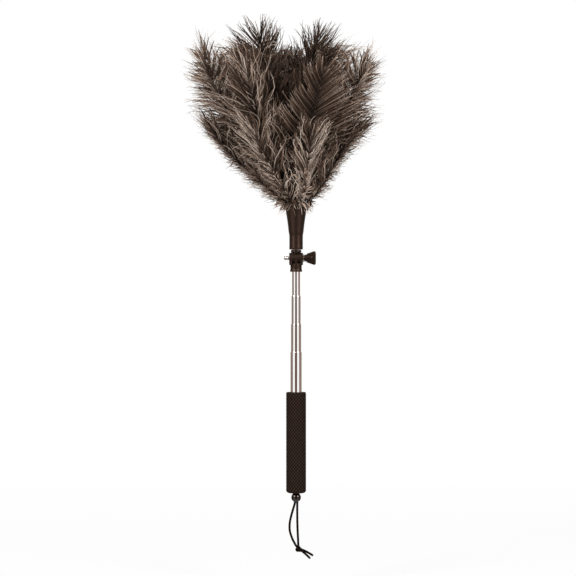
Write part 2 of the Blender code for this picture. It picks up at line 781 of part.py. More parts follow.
def make_plume(layer, ring, index):
    """One plume: a loft from its quill in the ferrule to a frayed, flat vane along a curve that fans out."""
    azimuth = math.radians(layer["first"] + layer["pitch"] * index)
    reach = layer["reach"] * layer["reach_shares"][index]
    rise = layer["rise"] * layer["rise_shares"][index]
    (near_r, near_z), (far_r, far_z) = layer["handle_shares"]
    ring_radius = quill_rings[ring]
    inner_at_root = ferrule_radius(ferrule_height - quill_in_ferrule) - ferrule_wall
    root_limit = inner_at_root - seat_gap - quill_radius
    drawn_in_share = (root_limit - quill_rings[0]) / (quill_rings[3] - quill_rings[0])
    root_radius = quill_rings[0] + (ring_radius - quill_rings[0]) * min(drawn_in_share, 1.0)
    upright = (0.0, 1.0)
    rings = [plume_section(layer, root_radius, ferrule_mouth - quill_in_ferrule, upright, azimuth,
                           quill_radius, quill_radius, 0.0)]
    for height in (ferrule_mouth, plume_base):
        rings.append(plume_section(layer, ring_radius, height, upright, azimuth,
                                   quill_radius, quill_radius, 0.0))
    for i in range(1, vane_stations + 1):
        t = i / vane_stations
        s = 1.0 - t
        radius = ring_radius + reach * (3 * s * s * t * near_r + 3 * s * t * t * far_r + t ** 3)
        height = plume_base + rise * (3 * s * s * t * near_z + 3 * s * t * t * far_z + t ** 3)
        slope_r = reach * (s * s * near_r + 2 * s * t * (far_r - near_r) + t * t * (1 - far_r))
        slope_z = rise * (s * s * near_z + 2 * s * t * (far_z - near_z) + t * t * (1 - far_z))
        slope = math.hypot(slope_r, slope_z)
        tangent = (slope_r / slope, slope_z / slope)
        wave = 1.0 - tooth_wave_share * (1 + math.sin(2.4 * i + 1.7 * index))
        frayed = wave if i % 2 else tooth_share
        width = quill_radius + (layer["half_width"] - quill_radius) * vane_share(t) * frayed
        if i == vane_stations:
            width = plume_tip_half_width
        thick = quill_radius + (vane_centre_half - quill_radius) * min(vane_share(t), 1.0)
        thick = thick + (vane_tip_half - thick) * t ** 3
        sweep = rise * tooth_sweep_share * (vane_share(t) if i % 2 and i < vane_stations else 0.0)
        rings.append(plume_section(layer, radius, height, tangent, azimuth, width, thick, sweep))
    verts = [corner for ring_points in rings for corner in ring_points]
    faces = [(4 * k + j, 4 * k + (j + 1) % 4, 4 * k + 4 + (j + 1) % 4, 4 * k + 4 + j)
             for k in range(len(rings) - 1) for j in range(4)]
    last = 4 * (len(rings) - 1)
    faces += [(3, 2, 1, 0), (last, last + 1, last + 2, last + 3)]
    name = layer["name"] + "_" + str(index + 1)
    mesh = bpy.data.meshes.new(name)
    mesh.from_pydata(verts, [], faces)
    work = bmesh.new()
    work.from_mesh(mesh)
    bmesh.ops.recalc_face_normals(work, faces=work.faces)
    work.to_mesh(mesh)
    work.free()
    shade = 0.8 + 0.4 * (index % 3) / 2
    return keep(new_object(name, mesh), name, lambda label: feather(label, shade))


def make_plumes():
    return [make_plume(layer, ring, index)
            for ring, layer in enumerate(plume_layers) for index in range(layer["count"])]


def print_travel():
    """Say how far each tube slides from where it stands, home and out to its stop."""
    showing = (tube_2_showing, tube_3_showing, tube_4_showing)
    for i, shown in zip((1, 2, 3), showing):
        ring_top = tube_feet[i] + ring_rise + ring_length
        stop = tube_tops[i - 1] - lip_height - seat_gap
        travel = (round(home_showing - shown, 5), round(stop - ring_top, 5))
        print("tube_" + str(i + 1), "slides from and to", travel)
    print("tilt axis at height", round(pivot_height, 5), "mouth of the ferrule at", round(ferrule_mouth, 5))
    print("grip top", round(grip_top, 5), "plume base", round(plume_base, 5))


def build():
    make_grip()
    tubes = [make_tube(i) for i in range(4)]
    rings = [make_slide_ring(i) for i in (1, 2, 3)]
    make_end_plug()
    make_end_ball()
    make_lanyard()
    socket = make_socket()
    yoke = make_yoke()
    screw, nut, washer, knob = make_clamp()
    head = [yoke, make_stud(), make_ferrule(), make_dowel()] + make_bindings() + make_plumes()
    bpy.context.view_layer.update()
    carriers = [pivot("slide_axis_" + str(i + 1), (0.0, 0.0, tube_feet[i])) for i in (1, 2, 3)]
    tilt = pivot("tilt_axis", (0.0, 0.0, pivot_height))
    travel = pivot("screw_axis", (0.0, 0.0, pivot_height))
    bpy.context.view_layer.update()
    for i in (0, 1):
        carry(carriers[i], [tubes[i + 1], rings[i]])
    carry(carriers[2], [tubes[3], rings[2], socket, nut])
    carry(tilt, head)
    carry(travel, [screw, washer, knob])
    print_travel()


build()
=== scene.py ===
"""An ostrich feather duster: plumes, tilting clamp joint, telescopic pole, foam grip and hanging cord.

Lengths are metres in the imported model's frame. The pole's axis is x = y = 0, z points up, and the
photograph is taken from -Y.
"""
import math

import bpy
import numpy as np
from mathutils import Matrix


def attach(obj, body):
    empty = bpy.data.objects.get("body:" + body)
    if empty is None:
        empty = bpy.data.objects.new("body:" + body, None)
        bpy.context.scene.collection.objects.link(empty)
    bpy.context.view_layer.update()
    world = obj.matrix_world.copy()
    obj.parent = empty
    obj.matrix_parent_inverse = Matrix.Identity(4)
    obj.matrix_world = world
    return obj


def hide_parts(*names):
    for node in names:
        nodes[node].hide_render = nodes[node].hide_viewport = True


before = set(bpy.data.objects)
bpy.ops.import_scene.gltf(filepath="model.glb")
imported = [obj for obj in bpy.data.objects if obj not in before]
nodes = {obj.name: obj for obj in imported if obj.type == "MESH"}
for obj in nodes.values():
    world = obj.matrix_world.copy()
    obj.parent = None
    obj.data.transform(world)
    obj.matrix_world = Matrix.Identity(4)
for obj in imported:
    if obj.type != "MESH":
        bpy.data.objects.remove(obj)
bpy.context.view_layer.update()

mm = 0.001
full_turn = 2 * math.pi
fine_columns = 96

# The camera: one pixel of the photograph spans 1.1 mm of the duster.
photo_side = 576
pixel_span = 1.1 * mm
camera_distance = 2.4
sensor_width = 36.0
camera_data = bpy.data.cameras.new("photo_camera")
camera_data.sensor_width = sensor_width
camera_data.lens = sensor_width * camera_distance / (photo_side * pixel_span)
camera_data.clip_end = 50.0
camera = bpy.data.objects.new("photo_camera", camera_data)
camera.location = (-8.9 * mm, -camera_distance, 170.0 * mm)
camera.rotation_euler = (math.radians(90.0), 0.0, 0.0)
bpy.context.scene.collection.objects.link(camera)
bpy.context.scene.camera = camera
bpy.context.scene.view_settings.view_transform = "Standard"


# Surfaces. A solid is an array of places and a list of arrays of faces.

def skin(grid, ring=False):
    """Quads between the rows of a grid whose columns close round; ring joins the last row to the first.

    Faces point outwards where rows run up the outer side and columns run counter-clockwise. Without
    ring, a fan to the middle of the first row and one to the middle of the last close the ends.
    """
    rows, columns = grid.shape[:2]
    index = np.arange(rows * columns).reshape(rows, columns)
    low = index if ring else index[:-1]
    high = np.roll(index, -1, axis=0) if ring else index[1:]
    quads = np.stack([low, np.roll(low, -1, 1), np.roll(high, -1, 1), high], axis=-1).reshape(-1, 4)
    places = grid.reshape(-1, 3)
    if ring:
        return places, [quads]
    ends = np.stack([grid[0].mean(axis=0), grid[-1].mean(axis=0)])
    foot, head = np.full(columns, rows * columns), np.full(columns, rows * columns + 1)
    fans = np.vstack([
        np.stack([np.roll(index[0], -1), index[0], foot], axis=-1),
        np.stack([index[-1], np.roll(index[-1], -1), head], axis=-1),
    ])
    return np.vstack([places, ends]), [quads, fans]


def together(*solids):
    """Several solids as one, with the numbers of each one's faces moved up past the places before it."""
    first = np.cumsum([0] + [len(places) for places, faces in solids[:-1]])
    places = np.vstack([places for places, faces in solids])
    return places, [group + start for start, (_, faces) in zip(first, solids) for group in faces]


def eased(outline, cut, steps=4, ring=True):
    """An outline with round corners.

    Each corner gives way to the quadratic Bezier curve between the points a cut's length from it on
    either side. A point a little further out on each side keeps the flats flat under smooth shading.
    Without ring the outline is open and its two end points stay.
    """
    points = np.asarray(outline, float)
    cut = np.broadcast_to(np.asarray(cut, float), len(points))[:, None]
    sides = [np.roll(points, 1, axis=0) - points, np.roll(points, -1, axis=0) - points]
    lengths = [np.linalg.norm(side, axis=1, keepdims=True) for side in sides]
    reaches = [np.minimum(cut, 0.4 * length) / length for length in lengths]
    start, end = [points + side * reach for side, reach in zip(sides, reaches)]
    guards = [points + side * reach * 1.2 for side, reach in zip(sides, reaches)]
    t = np.linspace(0.0, 1.0, steps + 1)[None, :, None]
    bends = (1 - t) ** 2 * start[:, None] + 2 * t * (1 - t) * points[:, None] + t ** 2 * end[:, None]
    bends = np.concatenate([guards[0][:, None], bends, guards[1][:, None]], axis=1)
    if not ring:
        bends = bends[1:-1]
    path = bends.reshape(-1, points.shape[1])
    if not ring:
        path = np.vstack([points[:1], path, points[-1:]])
    kept = np.linalg.norm(path - np.roll(path, 1, axis=0), axis=1) > 1e-6
    return path[kept]


def around(columns):
    """The angles of a ring's columns."""
    return np.linspace(0.0, full_turn, columns, endpoint=False)


def rings_about(radius, heights, along_x=False):
    """A grid round Z, or round X through the tilt axis, with a radius for each row and column and a
    height, or a place on X, for each row."""
    angle = around(radius.shape[1])
    across, over = radius * np.cos(angle), radius * np.sin(angle)
    heights = np.broadcast_to(heights[:, None], radius.shape)
    if along_x:
        return np.stack([heights, across, over + pivot_height], axis=-1)
    return np.stack([across, over, heights], axis=-1)


def turned(profile, columns=64, ring=False, along_x=False):
    """A profile of (radius, height) carried round its axis, which is Z, or X through the tilt axis."""
    radius, heights = np.asarray(profile, float).T
    radius = np.broadcast_to(radius[:, None], (len(radius), columns))
    return skin(rings_about(radius, heights, along_x), ring)


def superellipse(half_across, half_over, power):
    """Sections where |x / a| ** power + |y / b| ** power = 1, with a and b for each section."""
    angle = around(fine_columns)
    size = (np.abs(np.cos(angle)) ** power + np.abs(np.sin(angle)) ** power) ** (-1 / power)
    return half_across[:, None] * size * np.cos(angle), half_over[:, None] * size * np.sin(angle)


def rounded_ends(low, high, edge):
    """Eight rows from low to high with both ends' edges rounded: how far in each is drawn, and its place."""
    eases = edge * np.array([1.0, 0.4, 0.1, 0.0, 0.0, 0.1, 0.4, 1.0])
    rises = edge * np.array([0.0, 0.1, 0.4, 1.0])
    return eases, np.concatenate([low + rises, high - rises[::-1]])


def smooth_path(route, steps):
    """A Catmull-Rom curve through a route's points: the cubic whose slope at each point is half the
    step from the point before it to the point after it."""
    points = np.asarray(route, float)
    points = np.vstack([2 * points[0] - points[1], points, 2 * points[-1] - points[-2]])
    before, start, end, after = points[:-3, None], points[1:-2, None], points[2:-1, None], points[3:, None]
    t = np.linspace(0.0, 1.0, steps, endpoint=False)[None, :, None]
    curve = 0.5 * (2 * start + (end - before) * t + (2 * before - 5 * start + 4 * end - after) * t ** 2
                   + (3 * start - before - 3 * end + after) * t ** 3)
    return np.vstack([curve.reshape(-1, points.shape[1]), points[-2:-1]])


def distances(path):
    """How far along a path each of its points is."""
    return np.concatenate([[0.0], np.cumsum(np.linalg.norm(np.diff(path, axis=0), axis=1))])


def read_at(stops, walked, rows):
    """Rows of coordinates, given at the distances walked, read off at stops between them."""
    return np.stack([np.interp(stops, walked, column) for column in rows.T], axis=1)


def evenly(path, gap):
    """Points on a path at one even gap along it."""
    walked = distances(path)
    return read_at(np.linspace(0.0, walked[-1], int(round(walked[-1] / gap)) + 1), walked, path)


def unit(vectors):
    """Vectors brought to a length of one."""
    return vectors / np.linalg.norm(vectors, axis=-1, keepdims=True)


def rings_round(line, ahead, over, radius, angle, flatness=1.0):
    """A ring of places about each point of a line, square to the direction ahead.

    facing is over less its part along ahead, and beside is square to both. A place is the line's point
    + radius * (flatness * cos(angle) * facing + sin(angle) * beside). All three are given back.
    """
    facing = unit(over - (over * ahead).sum(-1, keepdims=True) * ahead)
    beside = np.cross(ahead, facing)
    across = (flatness * np.cos(angle)[:, None] * facing[..., None, :]
              + np.sin(angle)[:, None] * beside[..., None, :])
    return line[..., None, :] + np.asarray(radius)[..., None] * across, facing, beside


def mesh_of(name, solid):
    """A smooth-shaded mesh from a solid's arrays."""
    places, faces = solid
    mesh = bpy.data.meshes.new(name)
    corners = np.concatenate([group.ravel() for group in faces])
    counts = np.concatenate([np.full(len(group), group.shape[1]) for group in faces])
    mesh.vertices.add(len(places))
    mesh.vertices.foreach_set("co", places.astype(np.float32).ravel())
    mesh.loops.add(len(corners))
    mesh.loops.foreach_set("vertex_index", corners.astype(np.int32))
    mesh.polygons.add(len(counts))
    mesh.polygons.foreach_set("loop_start", (np.cumsum(counts) - counts).astype(np.int32))
    mesh.update(calc_edges=True)
    mesh.shade_smooth()
    return mesh


def put_in_scene(name, data):
    """A new object with its data, linked to the scene."""
    made = bpy.data.objects.new(name, data)
    bpy.context.scene.collection.objects.link(made)
    return made


def piece(name, solid, body, finish, stands_for=None, sharp_angle=35.0):
    """A solid put into the scene: it rides on a body, wears a finish and stands for CAD nodes."""
    mesh = mesh_of(name, solid)
    if sharp_angle:
        mesh.set_sharp_from_angle(angle=math.radians(sharp_angle))
    mesh.materials.append(finish)
    made = put_in_scene(name, mesh)
    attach(made, body)
    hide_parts(*(stands_for or [name.removesuffix("_skin")]))
    return made


def number_on(made, name, values):
    """A number for each vertex, kept as an attribute that a material reads."""
    made.data.attributes.new(name, "FLOAT", "POINT").data.foreach_set("value", values.astype(np.float32))


# Finishes.

def wire(tree, kind, links=(), **settings):
    """A node in a tree with its settings, its inputs linked to other nodes' outputs or set to values."""
    node = tree.nodes.new(kind)
    for setting, value in settings.items():
        setattr(node, setting, value)
    for target, source in dict(links).items():
        if isinstance(source, bpy.types.NodeSocket):
            tree.links.new(source, node.inputs[target])
        else:
            node.inputs[target].default_value = source
    return node


class Finish:
    """A material while it is being wired: its nodes, its shader and its coordinates."""

    def __init__(self, name, **values):
        self.material = bpy.data.materials.new(name)
        self.material.use_nodes = True
        self.tree = self.material.node_tree
        self.shader = self.tree.nodes["Principled BSDF"]
        for socket, value in values.items():
            self.shader.inputs[socket.replace("_", " ")].default_value = value
        self.place = self.add("ShaderNodeTexCoord").outputs["Object"]

    def add(self, kind, links=(), **settings):
        """A node of the material, wired as wire does it."""
        return wire(self.tree, kind, links, **settings)

    def to_shader(self, socket, source):
        """A link from a node's output to the shader."""
        self.tree.links.new(source, self.shader.inputs[socket])

    def noise(self, scale, detail=3.0, stretch=None):
        """Noise on the piece's coordinates, stretched by three scales where they are given."""
        place = self.place
        if stretch:
            place = self.add("ShaderNodeMapping", {"Vector": place, "Scale": stretch}).outputs[0]
        return self.add("ShaderNodeTexNoise", {"Vector": place, "Scale": scale, "Detail": detail}).outputs[0]

    def ramp(self, source, stops):
        """A colour ramp with stops of (position, colour)."""
        node = self.add("ShaderNodeValToRGB", {"Fac": source})
        elements = node.color_ramp.elements
        while len(elements) < len(stops):
            elements.new(0.5)
        for element, (position, colour) in zip(elements, stops):
            element.position = position
            element.color = (*colour, 1.0)
        return node.outputs[0]

    def between(self, source, low, high):
        """A number from 0 to 1 carried over to the range from low to high."""
        return self.add("ShaderNodeMapRange", {"Value": source, "To Min": low, "To Max": high}).outputs[0]

    def done(self, colour, rough, relief):
        """The material with a colour, roughness as (source, low, high) or None, and relief that only the
        shading shows as (source, distance, strength)."""
        self.to_shader("Base Color", colour)
        if rough:
            self.to_shader("Roughness", self.between(*rough))
        bump = self.add("ShaderNodeBump", dict(zip(("Height", "Distance", "Strength"), relief)))
        self.to_shader("Normal", bump.outputs[0])
        return self.material


def make_chrome():
    """Bright chrome with fine marks drawn along the tube by its sliding."""
    finish = Finish("chrome_tube", Metallic=1.0)
    marks = finish.noise(1.0, 4.0, (2600.0, 2600.0, 90.0))
    haze = finish.noise(38.0)
    blend = finish.add("ShaderNodeMath", {0: marks, 1: haze}, operation="MULTIPLY").outputs[0]
    tint = finish.ramp(haze, [(0.3, (0.93, 0.91, 0.89)), (0.7, (0.97, 0.96, 0.95))])
    return finish.done(tint, (blend, 0.035, 0.14), (marks, 0.004 * mm, 0.35))


warm_shine = (1.0, 0.60, 0.48, 1.0)


def make_plastic(name, dark, light, rough_low, rough_high, shine, tint=warm_shine):
    """Moulded black plastic: a fine grain, faint flow marks and edges rubbed a little lighter."""
    finish = Finish(name, Specular_IOR_Level=shine, Specular_Tint=tint)
    flow = finish.noise(55.0, stretch=(1.0, 1.0, 0.35))
    edge = finish.add("ShaderNodeNewGeometry").outputs["Pointiness"]
    rubbed = finish.add("ShaderNodeMapRange", {"Value": edge, "From Min": 0.5, "From Max": 0.6}).outputs[0]
    body = finish.ramp(flow, [(0.25, dark), (0.75, light)])
    worn = finish.add("ShaderNodeMix", {0: rubbed, 6: body, 7: (*[2.2 * c for c in light], 1.0)},
                      data_type="RGBA").outputs[2]
    return finish.done(worn, (flow, rough_low, rough_high), (finish.noise(2400.0, 2.0), 0.012 * mm, 0.5))


def make_steel(name, colour, rough_low, rough_high):
    """Bright metal with a cloudy shine and fine turning marks."""
    finish = Finish(name, Metallic=1.0)
    cloud = finish.noise(300.0)
    fine = finish.noise(1.0, 3.0, (5200.0, 700.0, 700.0))
    colours = finish.ramp(cloud, [(0.3, tuple(0.88 * c for c in colour)), (0.7, colour)])
    return finish.done(colours, (fine, rough_low, rough_high), (fine, 0.006 * mm, 0.4))


foam_painted_light_and_shade = [(0.45, (0.0042, 0.0028, 0.002)), (0.8, (0.011, 0.007, 0.0051)), (1.0, (0.04, 0.025, 0.0185))]


def make_foam():
    """Closed-cell foam: a dark ground and fine pores, painted paler on its raised points and darker in the
    hollows between them as painted light and shade.
    """
    finish = Finish("foam", Specular_IOR_Level=0.04, Specular_Tint=warm_shine)
    relief = finish.add("ShaderNodeAttribute", attribute_name="relief").outputs["Fac"]
    pores = finish.noise(1900.0, 2.0)
    texture_and_painted_shading = finish.add("ShaderNodeMath", {0: pores, 1: 0.55, 2: relief}, operation="MULTIPLY_ADD").outputs[0]
    return finish.done(finish.ramp(texture_and_painted_shading, foam_painted_light_and_shade), (pores, 0.62, 0.88), (pores, 0.09 * mm, 0.7))


def make_braid(name, dark, light):
    """Braided or wound yarn with fibres across its strands, painted paler on their tops and darker
    between them as painted light and shade.
    """
    finish = Finish(name, Roughness=0.82, Specular_IOR_Level=0.03, Specular_Tint=warm_shine)
    strand = finish.add("ShaderNodeAttribute", attribute_name="strand").outputs["Fac"]
    fibres = finish.noise(2600.0, 2.0)
    texture_and_painted_shading = finish.add("ShaderNodeMath", {0: fibres, 1: 0.35, 2: strand}, operation="MULTIPLY_ADD").outputs[0]
    return finish.done(finish.ramp(texture_and_painted_shading, [(0.2, dark), (1.0, light)]), None, (fibres, 0.05 * mm, 0.6))


def make_wood():
    """A plain wooden stick with long grain."""
    finish = Finish("dowel_wood", Specular_IOR_Level=0.3)
    grain = finish.noise(1.0, 4.0, (900.0, 900.0, 60.0))
    colours = finish.ramp(grain, [(0.3, (0.16, 0.10, 0.055)), (0.7, (0.36, 0.25, 0.15))])
    return finish.done(colours, (grain, 0.5, 0.75), (grain, 0.05 * mm, 0.6))


def make_feather():
    """Ostrich barbs: a strand's own tone, darker towards its root.

    Both come from the strand's place on the piece's map: across it the tone, up it the share of the
    strand's length.
    """
    finish = Finish("feather", Roughness=0.7, Specular_IOR_Level=0.10)
    on_map = finish.add("ShaderNodeUVMap", uv_map=strand_map).outputs[0]
    parts = finish.add("ShaderNodeSeparateXYZ", {"Vector": on_map}).outputs
    tone = finish.ramp(parts["X"], feather_tones)
    along = finish.ramp(parts["Y"], [(place, 3 * (share,)) for place, share in feather_root_shades])
    shade = finish.add("ShaderNodeMix", {0: 1.0, 6: tone, 7: along}, data_type="RGBA", blend_type="MULTIPLY")
    finish.to_shader("Base Color", shade.outputs[2])
    return finish.material


strand_map = "OFBake"
feather_tones = [
    (0, (0.026, 0.0155, 0.0098)),
    (0.25, (0.095, 0.056, 0.037)),
    (0.5, (0.26, 0.172, 0.126)),
    (0.75, (0.54, 0.4, 0.316)),
    (1, (0.86, 0.715, 0.6)),
]
feather_root_shades = [(0, 0.35), (0.45, 0.75), (1, 1)]
chrome = make_chrome()
plastic = make_plastic("black_plastic", (0.007, 0.0045, 0.003), (0.011, 0.0072, 0.005),
                       rough_low=0.28, rough_high=0.4, shine=0.34)
satin_plastic = make_plastic("satin_plastic", (0.005, 0.0032, 0.0022), (0.0078, 0.005, 0.0035),
                             rough_low=0.34, rough_high=0.48, shine=0.22)
gloss_plastic = make_plastic("gloss_plastic", (0.006, 0.004, 0.0028), (0.0085, 0.0056, 0.004),
                             rough_low=0.07, rough_high=0.11, shine=0.5, tint=(1, 0.9, 0.85, 1))
steel = make_steel("bright_steel", (0.74, 0.72, 0.70), 0.14, 0.30)
dark_steel = make_steel("dark_steel", (0.12, 0.085, 0.07), 0.30, 0.50)
brass = make_steel("spring_brass", (0.72, 0.53, 0.27), 0.20, 0.38)
foam = make_foam()
braid = make_braid("cord_braid", (0.0026, 0.0018, 0.0013), (0.0072, 0.0049, 0.0037))
thread = make_braid("thread", (0.010, 0.007, 0.005), (0.090, 0.065, 0.048))
wood = make_wood()
feather = make_feather()


# The cords. Their routes are those of the CAD model, in millimetres.

cord_radius = 1.1 * mm
knot_radius = 1.12 * cord_radius
cord_gap = 0.22 * mm
left_route = [(-1.3, 0, -62.2), (-1.35, 0, -66.4), (-2.5, -0.1, -70.6), (-4.9, -0.3, -78.8),
              (-6.6, -0.5, -86), (-7.2, -0.7, -92.2), (-6.7, -0.8, -98), (-4.6, -0.9, -104.6),
              (-2.3, -1, -109.4), (0.1, -1, -113.5)]
right_route = [(1.3, 0, -62.2), (1.3, 0, -66.4), (1.25, 0.1, -73.7), (1.35, 0.3, -86),
               (1.7, 0.6, -97.2), (2.2, 0.9, -107.4), (2.45, 1, -112.9)]
upper_tail_route = [(6.75, 1.2, -118), (9.4, 1.3, -119.2), (12.65, 1.3, -120.9), (15.9, 1.1, -122.7),
                    (19, 0.9, -124.7)]
lower_tail_route = [(6.6, -1.2, -119.3), (9.1, -1.3, -121.3), (11.4, -1.3, -123.4),
                    (13.6, -1.1, -125.5), (15.7, -0.9, -127.6)]
knot_centre = np.array([2.75, 0.0, -117.2]) * mm
knot_turn = math.radians(25.0)
braid_strands = 8
braid_pitch = 5.2 * mm


def braided(path, radius, over):
    """A tube along a path with braided relief, and each vertex's height between strands, which the braid's
    finish turns into painted light on the tops and painted shade in the hollows.

    Two sets of ridges wind round it in opposite ways, each |cos| of half the number of strands times
    the angle and the turn, and each shows where it is the higher one. over is a direction, or one for
    each point, that the tube's first column faces.
    """
    walked = distances(path)
    angle = around(4 * braid_strands)
    turn = full_turn * walked[:, None] / braid_pitch
    one = np.abs(np.cos(0.5 * braid_strands * (angle + turn)))
    other = np.abs(np.cos(0.5 * braid_strands * (angle - turn)))
    relief = np.maximum(one, other)
    taper = np.sqrt(np.clip(np.minimum(walked, walked[-1] - walked) / radius, 0.02, 1.0))[:, None]
    reach = radius * (1.04 + 0.10 * relief) * taper
    over = np.broadcast_to(np.asarray(over, float), path.shape)
    grid = rings_round(path, unit(np.gradient(path, axis=0)), over, reach, angle)[0]
    return skin(grid), np.concatenate([relief.ravel(), [0.5, 0.5]])


def knot_line(points=160):
    """The knot's centreline and the directions away from its ring: a trefoil.

    Its distance from the middle is ring + tube * cos(3 * phase), its depth tube * sin(3 * phase), and
    it goes twice round a ring that is a little lower than wide.
    """
    phase = np.linspace(0.0, full_turn, points)
    ring, tube, height_share = 1.55, 1.05, 0.85
    across = ring + tube * np.cos(3 * phase)
    flat = np.stack([across * np.cos(2 * phase), tube * np.sin(3 * phase),
                     across * np.sin(2 * phase) * height_share], 1)
    lift = np.stack([np.cos(3 * phase) * np.cos(2 * phase), np.sin(3 * phase),
                     np.cos(3 * phase) * np.sin(2 * phase)], 1)
    cosine, sine = math.cos(knot_turn), math.sin(knot_turn)
    turn = np.array([[cosine, 0, sine], [0, 1, 0], [-sine, 0, cosine]])
    return flat @ turn.T * mm + knot_centre, lift @ turn.T


def make_cords():
    """The knot, and two cords that each run down a leg, through the knot and out as a tail."""
    line, lift = knot_line()
    solid, relief = braided(line, knot_radius, lift)
    knot = piece("lanyard_knot_braid", solid, "handle", braid, ["lanyard_knot"], None)
    # The braid's height colours the knot: paler tops and darker hollows, as painted light and shade.
    number_on(knot, "strand", relief)
    centre = tuple(knot_centre / mm)
    runs = [
        ("lanyard_cord_left", left_route + [(centre[0], -0.3, centre[2] + 0.6)] + upper_tail_route,
         ["lanyard_leg_left", "lanyard_tail_upper"]),
        ("lanyard_cord_right", right_route + [(centre[0] + 0.5, 0.2, centre[2] - 0.3)] + lower_tail_route,
         ["lanyard_leg_right", "lanyard_tail_lower"]),
    ]
    for name, route, stands_for in runs:
        path = evenly(smooth_path(np.array(route) * mm, 12), cord_gap)
        solid, relief = braided(path, cord_radius, (0.0, -1.0, 0.0))
        cord = piece(name, solid, "handle", braid, stands_for, None)
        # The braid's height colours the cord: paler tops and darker hollows, as painted light and shade.
        number_on(cord, "strand", relief)


make_cords()


# The grip, the tubes and the end ball.

pivot_height = 202.95 * mm
tube_wall = 0.3 * mm
tube_radii = mm * np.array([6.3, 5.7, 5.1, 4.5])
tube_feet = mm * np.array([-53.1, -18.1, 19.8, 53.5])
tube_tops = mm * np.array([99.6, 130.4, 161.2, 194.7])
tube_bodies = ["handle", "second_tube", "third_tube", "top_tube"]
lip_height = 1.2 * mm
grip_half = 55.5 * mm
grip_bore = 6.6 * mm
grip_radius = 11.0 * mm


def make_grip():
    """A turned sleeve whose outer wall has small raised points in slanting rows.

    The relief is the product of a cosine round the grip and a cosine along it, moved from 0 to 1.
    """
    columns, waves_round, wave_pitch, depth = 160, 20, 4.0 * mm, 0.18 * mm
    top_round, foot_wide, foot_high = 1.2 * mm, 3.8 * mm, 3.0 * mm
    quarter = np.linspace(0.0, math.pi / 2, 9)
    foot = np.stack([grip_radius - foot_wide + foot_wide * np.sin(quarter),
                     -grip_half + foot_high - foot_high * np.cos(quarter)], 1)
    top = np.stack([grip_radius - top_round + top_round * np.cos(quarter),
                    grip_half - top_round + top_round * np.sin(quarter)], 1)
    heights = np.arange(foot[-1, 1], top[0, 1], wave_pitch / 7)[1:]
    wall = np.stack([np.full(len(heights), grip_radius), heights], 1)
    bore = np.array([(grip_bore, grip_half), (grip_bore, -grip_half)])
    profile = np.vstack([foot, wall, top, bore])
    angle = around(columns)
    relief = 0.5 + 0.5 * np.cos(waves_round * angle) * np.cos(full_turn * profile[:, 1:] / wave_pitch)
    outside = (profile[:, 0] > grip_bore + 1 * mm)[:, None]
    radius = profile[:, :1] - depth * (1 - relief) * outside
    grid = rings_about(radius, profile[:, 1])
    grip = piece("grip_sleeve_skin", skin(grid, ring=True), "handle", foam, sharp_angle=50.0)
    # The relief also colours the foam: raised points painted paler and hollows darker, as painted light and
    # shade.
    number_on(grip, "relief", relief.ravel())


def tube_profile(number):
    """One tube's section: a thin wall, a rolled lip at the mouth and a neck at the foot of a sliding tube."""
    radius, foot, top = tube_radii[number], tube_feet[number], tube_tops[number]
    bore = radius - tube_wall
    outside = [(radius, foot), (radius, top)]
    inside = [(bore, top), (bore, foot)]
    cuts_outside, cuts_inside = [0.1 * mm, 0.28 * mm], [0.1 * mm, 0.1 * mm]
    if number < 3:
        lip = tube_radii[number + 1] + 0.1 * mm
        inside = [(lip, top), (lip, top - lip_height), (bore, top - lip_height - 0.2 * mm), (bore, foot)]
        cuts_inside = [0.15 * mm, 0.1 * mm, 0.1 * mm, 0.1 * mm]
    if number > 0:
        neck, low, high = 0.5 * mm, foot + 1.0 * mm, foot + 10.6 * mm
        outside = [(radius, foot), (radius, low), (radius - neck, low + neck), (radius - neck, high - neck),
                   (radius, high), (radius, top)]
        cuts_outside = [0.1 * mm] + 4 * [0.3 * mm] + [0.28 * mm]
        inside = inside[:-1] + [(bore, high + 0.2 * mm), (bore - neck, high - neck), (bore - neck, foot)]
        cuts_inside = cuts_inside[:-1] + 3 * [0.1 * mm]
    return eased(outside + inside, cuts_outside + cuts_inside)


def make_tubes():
    """The four tubes, and the look of the friction rings of those that slide."""
    for number, body in enumerate(tube_bodies):
        solid = turned(tube_profile(number), fine_columns, ring=True)
        piece(f"tube_{number + 1}_skin", solid, body, chrome)
        if number:
            nodes[f"slide_ring_{number + 1}"].data.materials[0] = brass


def make_end_plug():
    """The plug in the lowest tube's foot, turned, with a socket for the ball's stem."""
    foot, flange, top, socket_top = -54.6 * mm, -53.4 * mm, -45.4 * mm, -49.3 * mm
    socket_radius, flange_radius, radius = 2.5 * mm, 6.3 * mm, 5.7 * mm
    plug = [(socket_radius, socket_top), (socket_radius, foot), (flange_radius, foot), (flange_radius, flange),
            (radius, flange), (radius, top), (1.0 * mm, top)]
    piece("end_plug_skin", turned(eased(plug, 0.25 * mm, ring=False)), "handle", satin_plastic)


